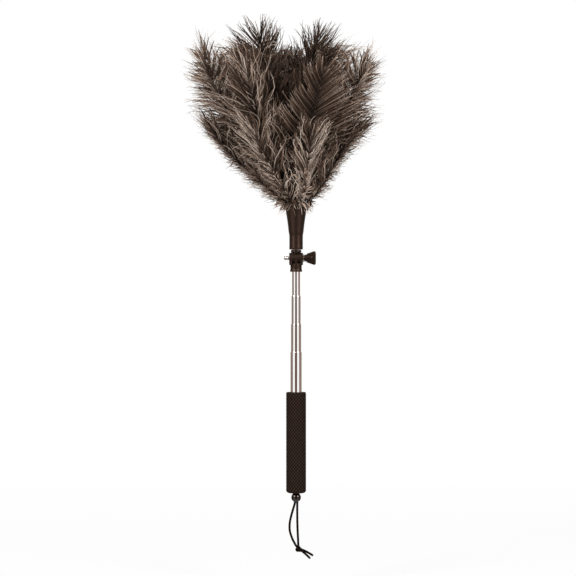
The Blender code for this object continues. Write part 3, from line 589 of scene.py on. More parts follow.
def make_end_ball():
    """A ball on a stem. Its foot has a slot for the cord: places below the slot's top rise towards it, by
    nothing at the slot's edge and all the way from a sixth of its half width further in."""
    centre, radius, stem_radius = -60.3 * mm, 5.4 * mm, 2.2 * mm
    slot_side, slot_width, slot_top = 2.7 * mm, 1.4 * mm, -61.7 * mm
    rise = np.linspace(0.0, math.pi, 49)[1:]
    ball = np.stack([radius * np.sin(rise), centre - radius * np.cos(rise)], 1)
    ball = ball[(ball[:, 1] < centre) | (ball[:, 0] > stem_radius + 0.1 * mm)]
    stem = np.array([(stem_radius + 0.1 * mm, -55.3 * mm), (stem_radius, -55.1 * mm),
                     (stem_radius, -50.1 * mm)])
    places, faces = turned(np.vstack([ball, stem]), 72)
    across, over, height = np.abs(places[:, 0]), np.abs(places[:, 1]), places[:, 2]
    hollow = np.clip((1 - np.maximum(across / slot_side, over / slot_width)) * 6, 0.0, 1.0)
    places[:, 2] = np.where(height < slot_top, height + hollow * (slot_top - height), height)
    piece("end_ball_skin", (places, faces), "handle", gloss_plastic)


make_grip()
make_tubes()
make_end_plug()
make_end_ball()


# The tilt joint.

leaf_thickness, leaf_radius, leaf_pitch = 3.02 * mm, 5.84 * mm, 3.05 * mm
block_foot, block_top = 195.15 * mm, 197.05 * mm
collar_foot, collar_top = 208.85 * mm, 212.05 * mm
screw_hole, screw_radius, thread_pitch = 2.8 * mm, 2.5 * mm, 0.8 * mm


def hexagon(angle, flat):
    """Distance from the middle to a hexagon's side, flat being half its width across flats."""
    return flat / np.cos((angle + full_turn / 12) % (full_turn / 6) - full_turn / 12)


def leaf(middle, neck_way, neck_half, neck_reach, pocket=False):
    """One leaf of the joint: round about the tilt axis, with straight sides down or up to its neck.

    Its outline's radius is the circle's, or on the neck's side the larger of that and the smaller of
    neck_half / |sine| and neck_reach / cosine of the angle from the neck. The screw's hole, or the
    nut's hexagonal pocket and the hole, is the inner part of the same ring of sections. neck_way is 1
    for a neck that points up and -1 for one that points down.
    """
    half, bevel, pocket_half, pocket_end = leaf_thickness / 2, 0.2 * mm, 4.3 * mm, -5.2 * mm
    angle = around(fine_columns)
    over = np.sin(angle) * neck_way
    across = np.abs(np.cos(angle))
    neck = np.minimum(neck_half / np.maximum(across, 1e-3), neck_reach / np.maximum(over, 1e-3))
    outline = np.where(over > 0, np.maximum(leaf_radius, neck), leaf_radius)
    eases, along = rounded_ends(-half, half, 0.12 * mm)
    hole = np.full(fine_columns, screw_hole)
    rows = [outline - ease for ease in eases] + [hole + bevel, hole, hole]
    along = np.append(along, [half, half - bevel]) + middle
    if pocket:
        rows += 2 * [hexagon(angle, pocket_half)]
        along = np.append(along, [pocket_end, pocket_end, middle - half])
    else:
        rows += [hole + bevel]
        along = np.append(along, [bevel - half + middle, middle - half])
    return skin(rings_about(np.array(rows), along, along_x=True), ring=True)


def block(half_x, half_y, foot, top, power=7.0, edge=0.4 * mm):
    """A flat block with rounded corners: superellipse sections, drawn in at the foot and the top."""
    eases, heights = rounded_ends(foot, top, edge)
    across, over = superellipse(half_x - eases, half_y - eases, power)
    return skin(np.stack([across, over, np.broadcast_to(heights[:, None], across.shape)], axis=-1))


def make_socket():
    """The socket on the top tube: a turned cup, a block on it and three leaves, one with the nut's pocket."""
    foot, body_top, bore, radius, rim_radius = 187.8 * mm, 196.1 * mm, 4.8 * mm, 6.25 * mm, 6.65 * mm
    cup = [(bore - 1 * mm, foot + 7.2 * mm), (bore, foot + 7.2 * mm), (bore, foot), (rim_radius, foot),
           (rim_radius, foot + 1.6 * mm), (radius, foot + 2.6 * mm), (radius, body_top), (2 * mm, body_top)]
    cuts = [0.1 * mm, 0.1 * mm, 0.3 * mm, 0.7 * mm, 0.5 * mm, 0.5 * mm, 0.4 * mm, 0.1 * mm]
    cup = turned(eased(cup, cuts, ring=False), 72)
    neck_down = pivot_height - block_top + 0.5 * mm
    leaves = [leaf(x, -1, leaf_radius, neck_down, pocket=x < -leaf_pitch)
              for x in (-2 * leaf_pitch, 0.0, 2 * leaf_pitch)]
    piece("pole_socket_skin", together(cup, block(7.5 * mm, leaf_radius, block_foot, block_top), *leaves),
          "top_tube", satin_plastic)


def make_yoke():
    """The joint's upper half: two leaves under a turned collar."""
    stud_hole = 3.3 * mm
    collar = [(5.6 * mm, collar_foot), (5.9 * mm, (collar_foot + collar_top) / 2), (5.3 * mm, collar_top),
              (stud_hole, collar_top), (stud_hole, collar_foot)]
    collar = turned(eased(collar, [0.4 * mm, 0.8 * mm, 0.4 * mm, 0.1 * mm, 0.1 * mm]), 72, ring=True)
    neck_up = collar_foot - pivot_height + 0.5 * mm
    leaves = [leaf(x, 1, 3.2 * mm, neck_up) for x in (-leaf_pitch, leaf_pitch)]
    piece("pivot_yoke_skin", together(collar, *leaves), "head", satin_plastic)


def make_screw():
    """The screw: its radius falls from the crest by up to the thread's depth with the distance from the
    middle of a wave that climbs one pitch for each turn, and it narrows at both ends."""
    start, end, depth = -13.1 * mm, 16.9 * mm, 0.42 * mm
    along = np.linspace(start, end, 301)
    phase = (along[:, None] / thread_pitch - around(32) / full_turn) % 1.0
    radius = screw_radius - depth * np.clip(np.abs(phase - 0.5) * 2.6 - 0.15, 0.0, 1.0)
    from_end = np.minimum(along - start, end - along)[:, None]
    radius = np.minimum(radius, screw_radius - 0.5 * mm + from_end)
    piece("clamp_screw_thread", skin(rings_about(radius, along, along_x=True)), "thumbscrew",
          steel, ["clamp_screw"])


def make_nut():
    """A hexagonal nut with bevelled corners at its outer end, and a bore just clear of the thread."""
    start, end, clearance = -7.5 * mm, -5.5 * mm, 0.06 * mm
    side = hexagon(around(fine_columns), 4.0 * mm)
    bore = np.full(fine_columns, screw_radius + clearance)
    rows = np.array([np.minimum(side, 3.9 * mm), np.minimum(side, 4.25 * mm), side, side, bore, bore])
    along = np.array([start, start + 0.25 * mm, start + 0.6 * mm, end, end, start])
    piece("clamp_nut_hex", skin(rings_about(rows, along, along_x=True), ring=True), "top_tube",
          steel, ["clamp_nut"])


def make_washer():
    """A plain turned washer between the thumb piece and the right leaf."""
    start, end, radius = 7.8 * mm, 8.6 * mm, 4.4 * mm
    washer = [(radius, start), (radius, end), (screw_hole, end), (screw_hole, start)]
    piece("clamp_washer_ring", turned(eased(washer, 0.2 * mm), 64, ring=True, along_x=True),
          "screw_carriage", dark_steel, ["clamp_washer"])


def make_thumb_piece():
    """A round neck and core, and a flat blade across them that flares towards its outer end.

    The blade is a row of superellipse sections along X, its half-height growing with X and its outer
    corners cut off. Its ends are drawn in as a quarter circle is, over seven hundredths of its length.
    """
    neck_start, core_end, core_radius = 8.9 * mm, 18.9 * mm, 3.9 * mm
    core = [(0.5 * mm, neck_start), (core_radius, neck_start), (core_radius, core_end - 1.2 * mm),
            (core_radius - 1.6 * mm, core_end), (0.5 * mm, core_end)]
    core = turned(eased(core, [0.1 * mm, 0.5 * mm, 1.0 * mm, 1.0 * mm, 0.1 * mm], ring=False), 64, along_x=True)
    start, end, thick, edge, power = 11.5 * mm, 21.8 * mm, 2.5 * mm, 0.7 * mm, 6.0
    share = np.array([0.0, 0.01, 0.03, 0.07, 0.3, 0.55, 0.76, 0.84, 0.88, 0.93, 0.97, 0.99, 1.0])
    along = start + share * (end - start)
    tall = np.interp(share, (0.0, 0.85, 1.0), (4.8 * mm, 7.8 * mm, 6.4 * mm))
    drawn_in = edge * (1 - np.sqrt(1 - np.clip(1 - np.minimum(share, 1 - share) / 0.07, 0.0, 1.0) ** 2))
    across, over = superellipse(thick - drawn_in, tall - drawn_in, power)
    grid = np.stack([np.broadcast_to(along[:, None], across.shape), across, over + pivot_height], axis=-1)
    piece("thumb_knob_skin", together(core, skin(grid)), "thumbscrew", satin_plastic)


make_socket()
make_yoke()
make_screw()
make_nut()
make_washer()
make_thumb_piece()


# The head: the ferrule, what holds the quills, and the plumes.

ferrule_foot, ferrule_height = 212.35 * mm, 45.5 * mm
ferrule_mouth = ferrule_foot + ferrule_height
ferrule_foot_radius, ferrule_mouth_radius, ferrule_wall = 7.5 * mm, 11.8 * mm, 1.0 * mm
plume_base = 262.05 * mm
quill_foot = ferrule_mouth - 10.0 * mm


def make_ferrule():
    """A turned cup: a straight foot, a flare to the mouth, and a cone inside for the quills."""
    heights = np.array([0.0, 0.32, 0.42, 0.56, 0.71, 0.86, 1.0])
    shares = np.array([0.0, 0.0, 0.16, 0.32, 0.53, 0.78, 1.0])
    outside = np.stack([ferrule_foot_radius + shares * (ferrule_mouth_radius - ferrule_foot_radius),
                        ferrule_foot + heights * ferrule_height], 1)
    outside = smooth_path(outside, 8)
    edge, inner_depth = 0.4 * mm, 18 * mm
    foot = [(ferrule_foot_radius - 1.5 * mm, ferrule_foot), (ferrule_foot_radius - edge, ferrule_foot),
            (ferrule_foot_radius - 0.3 * edge, ferrule_foot + 0.12 * mm),
            (ferrule_foot_radius, ferrule_foot + edge)]
    lip = [(ferrule_mouth_radius - 0.3 * edge, ferrule_mouth - 0.12 * mm),
           (ferrule_mouth_radius - edge, ferrule_mouth), (ferrule_mouth_radius - ferrule_wall, ferrule_mouth),
           (8.1 * mm, ferrule_mouth - inner_depth), (2.6 * mm, ferrule_mouth - inner_depth)]
    profile = np.vstack([foot, outside[1:-1], lip])
    piece("ferrule_skin", turned(profile, fine_columns), "head", plastic, sharp_angle=50.0)


def make_bindings():
    """Bands of wound thread between the rings of quills: close ridges that climb round the band.

    A ridge is |sin| of half a turn for each yarn's width climbed, less the share of the turn.
    """
    foot, height, wall, yarn = 258.45 * mm, 3.0 * mm, 0.3 * mm, 0.5 * mm
    rise = np.linspace(0.0, 1.0, 37)
    ridge = np.abs(np.sin(math.pi * (rise[:, None] * height / yarn - around(fine_columns) / full_turn)))
    heights = np.concatenate([foot + rise * height, [foot + height, foot]])
    for number, inner in enumerate((4.3 * mm, 6.4 * mm, 8.5 * mm)):
        radius = np.vstack([inner + wall * (0.45 + 0.55 * ridge), np.full((2, fine_columns), inner)])
        band = piece(f"binding_{number + 1}_thread", skin(rings_about(radius, heights), ring=True), "head",
                     thread, [f"binding_{number + 1}"])
        # The ridge height also colours the thread: paler on the ridges and darker in the grooves, as painted
        # light and shade.
        number_on(band, "strand", np.vstack([ridge, np.zeros((2, fine_columns))]).ravel())
    nodes["head_stud"].data.materials[0] = steel
    nodes["core_dowel"].data.materials[0] = wood


# The plumes, in millimetres and degrees. A list has an entry for each plume, anything else is for all:
# - first, pitch: where the first plume points, and the step to the next
# - ring, reach, rise: how far from the axis a quill starts, and how far out and up its shaft goes
# - reach_share, rise_share: a plume's own share of reach and rise
# - near, far: the inner handles of its curve, out and up, as shares of reach and rise
# - barb, length: the barbs' length, and a plume's own share of it
# - angles, wide: the barbs' angle from the shaft at five places up it, and a plume's own share of it
# - droop, roll: how far barbs turn down, and how far both sides are turned out of the plume's face
# - top: the height that barbs hardly pass
# - gap, stout: the step from barb to barb on one side, and how much thicker than usual they are
# - loose: how much barbs and locks of barbs stray
# - fringe: the share of barbs that are short and stand off the face
# - hanging: the lowest share of the shaft, where half the barbs hang over the ferrule
# - tone, tip, side, end: the barbs' tone, and what it gains up the shaft, on one side and to a barb's end;
#   partly the feathers' own colours, partly painted light and shade for the lit and shaded parts of the head
# - down, fluff_and_painted_light: how far up there is down behind the barbs, and how much wider the down
#   is and how much lighter it is painted in its upper part or, below zero, in its lower part, as painted light
plume_layers = {
    "centre_plume": dict(
        count=6, first=-88, pitch=60, ring=3.4, reach=13, rise=170, near=(0.1, 0.3), far=(0.4, 0.7),
        reach_share=[1, 0.9, 1, 0.94, 1, 0.9], rise_share=[0.96, 0.88, 1, 0.92, 0.98, 0.9],
        barb=36, droop=0.05, angles=(50, 50, 44, 36, 14), wide=0.75, top=440, gap=1.4, loose=0.8,
        tone=[0.14, 0.2, 0.22, 0.22, 0.2, 0.18], end=0.1),
    "upper_plume": dict(
        count=8, first=-43, pitch=40, ring=5.5, reach=52, rise=204, near=(0.08, 0.32), far=(0.66, 0.7),
        reach_share=[1, 0.96, 1, 0.94, 1, 0.96, 0.98, 1],
        rise_share=[1, 0.92, 0.97, 0.9, 0.95, 0.92, 0.94, 1],
        barb=52, length=[1.05, 1.2, 1.1, 1, 1, 1.15, 1.25, 1.05], droop=0.14,
        angles=(52, 60, 60, 58, 32), wide=[0.72, 1.1, 1, 0.9, 0.9, 1.1, 1.15, 0.72],
        top=[455, 442, 446, 440, 444, 441, 440, 459],
        roll=[4, 42, 34, 14, 14, 36, 44, 4], gap=[0.75, 0.72, 0.8, 1.1, 1.1, 0.85, 0.85, 0.88],
        loose=[0.5, 0.9, 0.9, 0.9, 0.9, 0.9, 0.9, 0.5], fringe=0.05, stout=[1.3, 1, 1, 1, 1, 1, 1, 1.3],
        tone=[0.1, 0.46, 0.48, 0.34, 0.34, 0.5, 0.52, 0.1], tip=[0, 0.3, 0.3, 0, 0, 0.3, 0.3, 0],
        end=[0, 0.2, 0.1, 0.1, 0.1, 0.2, 0.2, 0], down=[0.55, 1, 1, 1, 1, 1, 1, 0.55],
        fluff_and_painted_light=[0, 0.26, 0.26, 0, 0, 0.26, 0.3, 0]),
    "outer_plume": dict(
        count=9, first=-64, pitch=38.5, ring=7.6, reach=97, rise=186, near=(0.13, 0.24), far=(0.82, 0.62),
        reach_share=[0.97, 1, 1, 0.98, 0.94, 0.98, 1, 1, 0.97],
        rise_share=[0.86, 0.9, 0.94, 0.92, 0.86, 0.96, 1.02, 0.93, 0.88],
        barb=56, length=[1.2, 1, 1, 1.25, 1, 1.25, 1, 1, 1.1], droop=0.16,
        angles=(62, 64, 60, 52, 22), wide=[0.82, 0.9, 1, 0.8, 1, 0.8, 1, 0.9, 0.62],
        top=[436, 436, 441, 443, 436, 440, 459, 439, 436],
        roll=[2, 24, 34, 30, 20, 30, 34, 24, 4],
        gap=[1.7, 0.8, 0.72, 0.85, 1, 0.85, 0.8, 0.95, 0.95],
        loose=[0.12, 0.8, 0.8, 0.9, 0.9, 0.9, 0.8, 0.8, 0.62],
        fringe=[0, 0.16, 0.16, 0.16, 0.16, 0.16, 0.16, 0.16, 0.05], hanging=0.02,
        tone=[0.28, 0.43, 0.54, 0.58, 0.5, 0.6, 0.54, 0.54, 0.44],
        tip=[0, 0.4, 0.4, 0.3, 0.3, 0.4, 0.1, 0.4, 0.1], end=[0.5, 0.2, 0.2, 0.2, 0.1, 0.25, 0.2, 0.2, 0.2],
        fluff_and_painted_light=[0, 0.2, 0.26, 0.26, 0.15, 0.26, 0.2, 0.2, 0]),
    "skirt_plume": dict(
        count=8, first=-67.5, pitch=45, ring=9.7, reach=96, rise=96,
        near=3 * [(0.24, 0.13)] + 2 * [(0.28, 0.1)] + 3 * [(0.24, 0.13)],
        far=3 * [(0.52, 0.5)] + 2 * [(0.62, 0.42)] + 3 * [(0.52, 0.5)],
        reach_share=[0.94, 1, 1, 0.97, 0.97, 1, 1, 0.94],
        rise_share=[0.92, 1.02, 1, 0.96, 0.96, 1, 1.04, 0.94],
        barb=48, droop=0.12, angles=(66, 58, 52, 44, 18),
        wide=[0.6, 0.8, 1, 0.9, 0.9, 1, 0.8, 0.65], top=400,
        roll=[-16, -8, 0, -8, -8, 0, -8, -16], gap=1.1,
        loose=[0.6, 0.8, 0.8, 0.8, 0.8, 0.8, 0.8, 0.6],
        fringe=[0.15, 0.3, 0.3, 0.3, 0.3, 0.3, 0.3, 0.2], hanging=0.08,
        tone=[0.82, 0.54, 0.58, 0.5, 0.5, 0.58, 0.6, 0.6],
        tip=[-0.7, -0.9, -0.8, 0.2, 0.2, -0.8, -0.9, -0.1], side=[0.2, 0, 0, 0, 0, 0, 0, -0.12],
        end=0.3, fluff_and_painted_light=[-0.6, -0.3, -0.3, 0, 0, -0.3, -0.35, -0.2]),
}
plume_defaults = dict(length=1, wide=1, roll=0, fringe=0, hanging=0, stout=1, tip=0, side=0,
                      end=0, down=1, fluff_and_painted_light=0)
head_lean, head_lean_rise = 12.5 * mm, 62.0 * mm

# The head's outline: height, and the middle on X and the reach at that height, in millimetres.
outline = mm * np.array([
    (250, -6, 19), (262, -9, 22), (273, -10, 32), (287, -12, 42), (300, -10, 51),
    (313, -9, 66), (326, -7, 81), (339, -7, 94), (353, -9.5, 104), (366, -12.5, 106),
    (379, -14, 103), (405, -13.5, 109), (420, -14, 108), (475, -12.5, 106)])
outline_depth_share = 0.955
outline_steps = 16

# Barbs and down. Curves are pairs of rows: shares of a length, and values there in millimetres or shares.
# Pairs of single numbers are the ends of a range, in degrees for rolls and angles, else in millimetres.
shaft_steps, shaft_points, shaft_sides = 241, 60, 8
shaft_radii = (0.0, 0.1, 1.0), (0.6, 0.75, 0.16)
barb_span = 0.005, 0.88
barb_segments, barb_sides = 6, 3
barb_lengths = (0.0, 0.12, 0.35, 0.6, 0.85, 1.0), (0.40, 0.80, 1.0, 1.0, 0.90, 0.66)
barb_half_widths = (0.0, 0.3, 0.7, 1.0), (0.36, 0.46, 0.37, 0.07)
angle_places = 0.0, 0.3, 0.7, 0.9, 1.0
shortest_barb, short_barb_range = 6.0 * mm, (8.0, 17.0)
barbs_in_lock, gathering, bend_degrees = 5.0, 1.7, 14.0
waves, wave_at_root, wave_at_end, face_lean = 1.1, 0.16, 0.62, 0.15
back_rolls, standing_rolls, hanging_angles = (-70.0, -5.0), (30.0, 80.0), (85.0, 125.0)
leeways = -9.0, 5.0
strand_flatness = 0.35
barbules_each, barbule_half_width = 22, 0.17 * mm
down_length_share = 0.86
down_half_widths, down_depths = (0.8, 1.7, 1.5, 0.3), (0.6, 2.2, 2.8, 2.8)
darkest, palest = 0.04, 0.94
up = np.array([0.0, 0.0, 1.0])
three_sided = np.arange(barb_sides) * full_turn / barb_sides


def lean_at(height):
    """How far the head leans to -X: nothing at the bindings, then a smooth rise to its full lean."""
    share = np.clip((height - plume_base) / head_lean_rise, 0.0, 1.0)
    return -head_lean * share * share * (3 - 2 * share)


def room_for(root, heading, length, top, leeway):
    """The share of each barb's length that fits inside the head.

    The outline gives the head's middle on X and its reach for each height, a little less from front to
    back, and top is the plume's own upper limit. A barb ends where the straight line from its root
    passes either by more than its leeway, or by more than its root does.
    """
    stops = np.linspace(0.0, 1.0, outline_steps + 1)[None, :, None]
    places = root[:, None] + stops * length[:, None, None] * heading[:, None]
    heights, middles, reaches = outline.T
    height = places[..., 2]
    across = places[..., 0] - np.interp(height, heights, middles)
    distance = np.hypot(across, places[..., 1] / outline_depth_share)
    past = np.maximum(distance - np.interp(height, heights, reaches), height - top)
    limit = np.maximum(leeway, past[:, 0] + 1.5 * mm)
    inside = np.logical_and.accumulate(past <= limit[:, None], axis=1).sum(axis=1)
    return np.clip(inside / outline_steps, 0.1, 1.0)


def strand_faces(rings, sides, count):
    """Faces of many like strands, each a run of rings with its ends closed."""
    template = skin(np.zeros((rings, sides, 3)))[1]
    size = rings * sides + 2
    starts = np.arange(count)[:, None, None] * size
    return [(group[None] + starts).reshape(-1, group.shape[1]) for group in template]


def strands(line, ahead, face, half_width):
    """Many flat strands: three-sided rings about each line, a ridge over a wide foot, closed at both ends.

    line and ahead are arrays of strands, rings and coordinates, face one direction for each strand, and
    half_width one number for each ring. What comes back is a solid, and the directions across the rings.
    """
    ring, facing, beside = rings_round(line, ahead, face, half_width[:, None], three_sided, strand_flatness)
    count, rings = line.shape[:2]
    places = np.concatenate([ring.reshape(count, rings * barb_sides, 3), line[:, :1], line[:, -1:]], axis=1)
    return (places.reshape(-1, 3), strand_faces(rings, barb_sides, count)), facing, beside


def spikes(root, tip, ahead, face):
    """Very thin spikes, each a triangle round its root and a point: four faces."""
    ring = rings_round(root, ahead, face, barbule_half_width, three_sided)[0]
    places = np.concatenate([ring, tip[:, None]], axis=1).reshape(-1, 3)
    faces = np.array([(0, 2, 1), (0, 1, 3), (1, 2, 3), (2, 0, 3)])
    return places, [(faces[None] + 4 * np.arange(len(root))[:, None, None]).reshape(-1, 3)]


def strands_on_map(tone, along, gain=0.0):
    """Places on the tone map for strands of three-sided rings: across it a strand's tone, painted lighter on
    its ridge and darker on its two other sides as painted light and shade, and lighter by gain towards its
    end, and up it the share of the strand's length."""
    rings = len(along)
    across = np.tile([0.062, -0.07, -0.062], rings) + gain * np.repeat(along, 3) ** 3
    across = tone[:, None] + np.concatenate([across, [0.0, gain]])
    upward = 0.015 + 0.96 * np.repeat(along, 3) + np.tile([0.0, 0.012, 0.0], rings)
    upward = np.broadcast_to(np.concatenate([upward, [0.0, 1.0]]), across.shape)
    return np.stack([across, upward], axis=-1).reshape(-1, 2)


def spikes_on_map(tone, along):
    """Places on the tone map for spikes, each in one tone and near one height."""
    across = tone[:, None] + np.array([-0.006, 0.006, 0.0, 0.004])
    upward = 0.97 * along[:, None] + np.array([0.0, 0.0, 0.012, 0.024])
    return np.stack([across, upward], -1).reshape(-1, 2)


class Plume:
    """One plume while it grows: its shaft's curve, its own entries of the table and its barbs.

    All its random numbers come from one seeded row, so the order of the steps stays as it is:
    grow_barbs, tone_barbs, barbules, down.
    """

    def __init__(self, layer, index, seed):
        self.rng = np.random.default_rng(seed)
        self.own = {name: value[index] if isinstance(value, list) else value
                    for name, value in (plume_defaults | layer).items()}
        azimuth = math.radians(layer["first"] + layer["pitch"] * index)
        outward = np.array([math.cos(azimuth), math.sin(azimuth), 0.0])
        self.side = np.array([-outward[1], outward[0], 0.0])
        shares = np.linspace(0.0, 1.0, shaft_steps)
        self.curve = self.shaft_curve(outward, shares)
        self.curve_ahead = unit(np.gradient(self.curve, axis=0))
        self.walked = distances(self.curve)
        self.first, self.last = np.interp(barb_span, shares, self.walked)
        self.one_side = int((self.last - self.first) / (self.own["gap"] * mm))
        self.count = 2 * self.one_side

    def shaft_curve(self, outward, shares):
        """Points of the shaft at shares of its curve: a cubic Bezier curve in the plume's own upright
        plane, from its ring of quills out to its reach and up to its rise, moved by the head's lean."""
        own = self.own
        (near_out, near_up), (far_out, far_up) = own["near"], own["far"]
        reach = own["reach"] * own["reach_share"] * mm
        rise = own["rise"] * own["rise_share"] * mm
        t, s = shares[:, None], 1 - shares[:, None]
        first, second, third = 3 * s * s * t, 3 * s * t * t, t ** 3
        out = own["ring"] * mm + reach * (first * near_out + second * far_out + third)
        height = plume_base + rise * (first * near_up + second * far_up + third)
        places = outward * out + up * height
        places[:, :1] += lean_at(height)
        return places

    def at(self, stops, rows):
        """Places or directions along the shaft, at distances from its foot."""
        return read_at(stops, self.walked, rows)

    def locks(self, every, spread):
        """Random numbers that drift along each side: a new one at every so many barbs, with straight
        runs between."""
        stops = np.arange(self.one_side) / every
        rows = []
        for _ in range(2):
            knots = self.rng.normal(0.0, spread, int(self.one_side / every) + 3)
            rows.append(np.interp(stops, np.arange(len(knots)), knots))
        return np.concatenate(rows)

    def chance(self, share):
        """For each barb whether it is one of a random share."""
        return self.rng.uniform(0.0, 1.0, self.count) < share

    def grow_barbs(self):
        """The barbs' lines, from the shaft out.

        A barb's direction at a share u of its length turns from its own angle towards the shaft's
        direction, out of the plume's face and down in proportion to u, and it waves, the more so
        towards its end. Its points are the running sum of these directions. Barbs in one lock lean
        towards the lock's middle one. A barb is cut to the room it has in the head, and where it has
        little, or by chance, it lies back behind the plume. Short barbs stand off the face, and the
        hanging ones among them turn down over the ferrule.
        """
        rng, own, count, locks = self.rng, self.own, self.count, self.locks
        hand = np.repeat([-1.0, 1.0], self.one_side)
        order = np.tile(np.arange(self.one_side), 2)
        share = (order + 0.5 + 0.3 * rng.uniform(-1.0, 1.0, count)) / self.one_side
        stop = self.first + share * (self.last - self.first)
        root, ahead = self.at(stop, self.curve), unit(self.at(stop, self.curve_ahead))
        face = unit(np.cross(self.side, ahead))
        loose = np.interp(share, (0.28, 0.48), (0.9, own["loose"]))

        length = own["barb"] * mm * np.interp(share, *barb_lengths)
        length *= own["length"] * (1 + locks(6, 0.10) + rng.normal(0.0, 0.07, count))
        angle = np.radians(np.interp(share, angle_places, own["angles"])) * own["wide"]
        angle += np.radians(locks(7, 7.0) + rng.normal(0.0, 5.0, count)) * loose
        bend = np.radians(bend_degrees + locks(8, 8.0) * loose)
        roll = own["roll"] + (locks(6, 20.0) + rng.normal(0.0, 20.0, count)) * loose
        roll_back = rng.uniform(*back_rolls, count)
        short = self.chance(own["fringe"])
        hanging = (share < own["hanging"]) & self.chance(0.5)
        short |= hanging
        roll = np.where(short, rng.uniform(*standing_rolls, count), roll)
        angle = np.where(hanging, np.radians(rng.uniform(*hanging_angles, count)), angle)
        droop = own["droop"] * (1 + locks(8, 0.3)) * np.clip(4 * share, 0.0, 1.0)
        lock_place = order / barbs_in_lock + locks(9, 0.25)
        gather = (lock_place - np.round(lock_place)) * barbs_in_lock * (own["gap"] * mm) / length * loose

        u = (np.arange(barb_segments) + 0.5)[None] / barb_segments
        turn = angle[:, None] + (gathering * gather - bend)[:, None] * u
        wave = np.sin(full_turn * (waves * u + rng.uniform(0.0, 1.0, (count, 1))))
        turn = (turn + (wave_at_root + wave_at_end * u ** 2) * loose[:, None] * wave)[..., None]
        u = u[..., None]

        def heading_for(roll):
            """Each barb's directions, with the plume's two sides rolled out of its face."""
            roll = np.radians(roll)
            sideways = (np.cos(roll) * hand)[:, None] * self.side + np.sin(roll)[:, None] * face
            return unit(np.cos(turn) * ahead[:, None] + np.sin(turn) * sideways[:, None]
                        + face_lean * u * face[:, None] - droop[:, None, None] * u * up)

        leeway = rng.uniform(*leeways, count) * mm
        heading, heading_back = heading_for(roll), heading_for(roll_back)
        room, room_back = [room_for(root, one.mean(axis=1), length, own["top"] * mm, leeway)
                           for one in (heading, heading_back)]
        lies_back = ~short & self.chance(np.where(room < 0.4, 0.6, 0.42 * loose))
        heading = np.where(lies_back[:, None, None], heading_back, heading)
        length *= np.where(lies_back, room_back, room)
        length = np.where(short, rng.uniform(*short_barb_range, count) * mm, np.maximum(length, shortest_barb))
        steps = np.cumsum(heading, axis=1) * (length / barb_segments)[:, None, None]
        self.line = np.concatenate([root[:, None], root[:, None] + steps], axis=1)
        self.ahead = unit(np.gradient(self.line, axis=1))
        self.hand, self.order, self.share, self.loose = hand, order, share, loose
        self.root, self.face, self.short, self.hanging = root, face, short, hanging

    def tone_barbs(self):
        """The barbs' tones: pale and dark by turns for seven in ten and the other way round for the
        rest, a few paler still, drifting by lock, and short ones that stand off never dark."""
        by_turns = np.where(self.order % 2, 0.38, -0.26)
        tone = np.where(self.chance(0.7), by_turns, -by_turns) + self.rng.normal(0.0, 0.10, self.count)
        tone += 0.34 * self.chance(0.08)
        least = np.where(self.short & ~self.hanging, 0.52 + tone, darkest)
        # The plume's tone, tip and side gains are partly the feathers' own colours and partly painted light and
        # shade.
        tone = (self.own["tone"] + self.own["tip"] * (self.share - 0.4)
                + (self.locks(5, 0.15) + tone) * (0.3 + 0.7 * self.loose))
        self.tone = np.clip(np.maximum(tone + self.own["side"] * self.hand, least), darkest, palest)

    def barbules(self, facing, beside):
        """Barbules on both sides of every barb, and their places on the tone map."""
        rng, count = self.rng, self.count
        spot = (np.arange(barbules_each) + rng.uniform(0.0, 1.0, (count, barbules_each))) / barbules_each
        spot = 0.04 + 0.955 * spot
        segment = np.minimum((spot * barb_segments).astype(int), barb_segments - 1)
        part = (spot * barb_segments - segment)[..., None]
        which = np.arange(count)[:, None]
        root = self.line[which, segment] * (1 - part) + self.line[which, segment + 1] * part
        either = np.where(np.arange(barbules_each) % 2, 1.0, -1.0)[None, :, None]
        twist = rng.normal(0.0, 0.55, (count, barbules_each, 1))
        facing, beside = facing[which, segment], beside[which, segment]
        ahead = unit(0.75 * self.ahead[which, segment]
                     + either * (np.cos(twist) * beside + np.sin(twist) * facing))
        reach = mm * (1.8 - 0.6 * spot) * rng.uniform(0.7, 1.25, spot.shape)
        reach = reach * np.where(self.hanging, 0.35, 1.0)[:, None]
        # The end gain, lighter towards a barb's end, is partly painted light.
        tone = self.tone[:, None] - 0.20 + 0.12 * rng.normal(0.0, 1.0, spot.shape) + self.own["end"] * spot ** 3
        tip = root + ahead * reach[..., None]
        solid = spikes(*[row.reshape(-1, 3) for row in (root, tip, ahead, facing)])
        return solid, spikes_on_map(tone.ravel(), spot.ravel())

    def down(self):
        """Wide dark strands behind every other barb: down, kept dark as painted shade in the gaps between the
        barbs, and their places on the tone map.
        """
        fluff_and_painted_light = self.own["fluff_and_painted_light"]
        behind = np.flatnonzero((np.arange(self.count) % 2 == 0) & (self.share <= self.own["down"]))
        root, face = self.root[behind, None], self.face[behind, None]
        line = root + down_length_share * (self.line[behind, ::2] - root)
        line = line - mm * np.array(down_depths)[:, None] * face
        solid = strands(line, unit(np.gradient(line, axis=1)), face,
                        mm * (1 + 0.6 * abs(fluff_and_painted_light)) * np.array(down_half_widths))[0]
        # Painted light: above zero the down is painted lighter in its upper part, below zero in its lower part.
        if fluff_and_painted_light > 0:
            lit = np.clip((self.share[behind] - 0.4) / 0.2, 0.0, 1.0)
        else:
            lit = np.clip((self.share[behind] - 0.6) / 0.2, -1.0, 0.0)
        tone = self.rng.uniform(0.04, 0.16, len(behind)) + fluff_and_painted_light * lit
        return solid, strands_on_map(tone, np.linspace(0.0, 1.0, len(down_depths)))

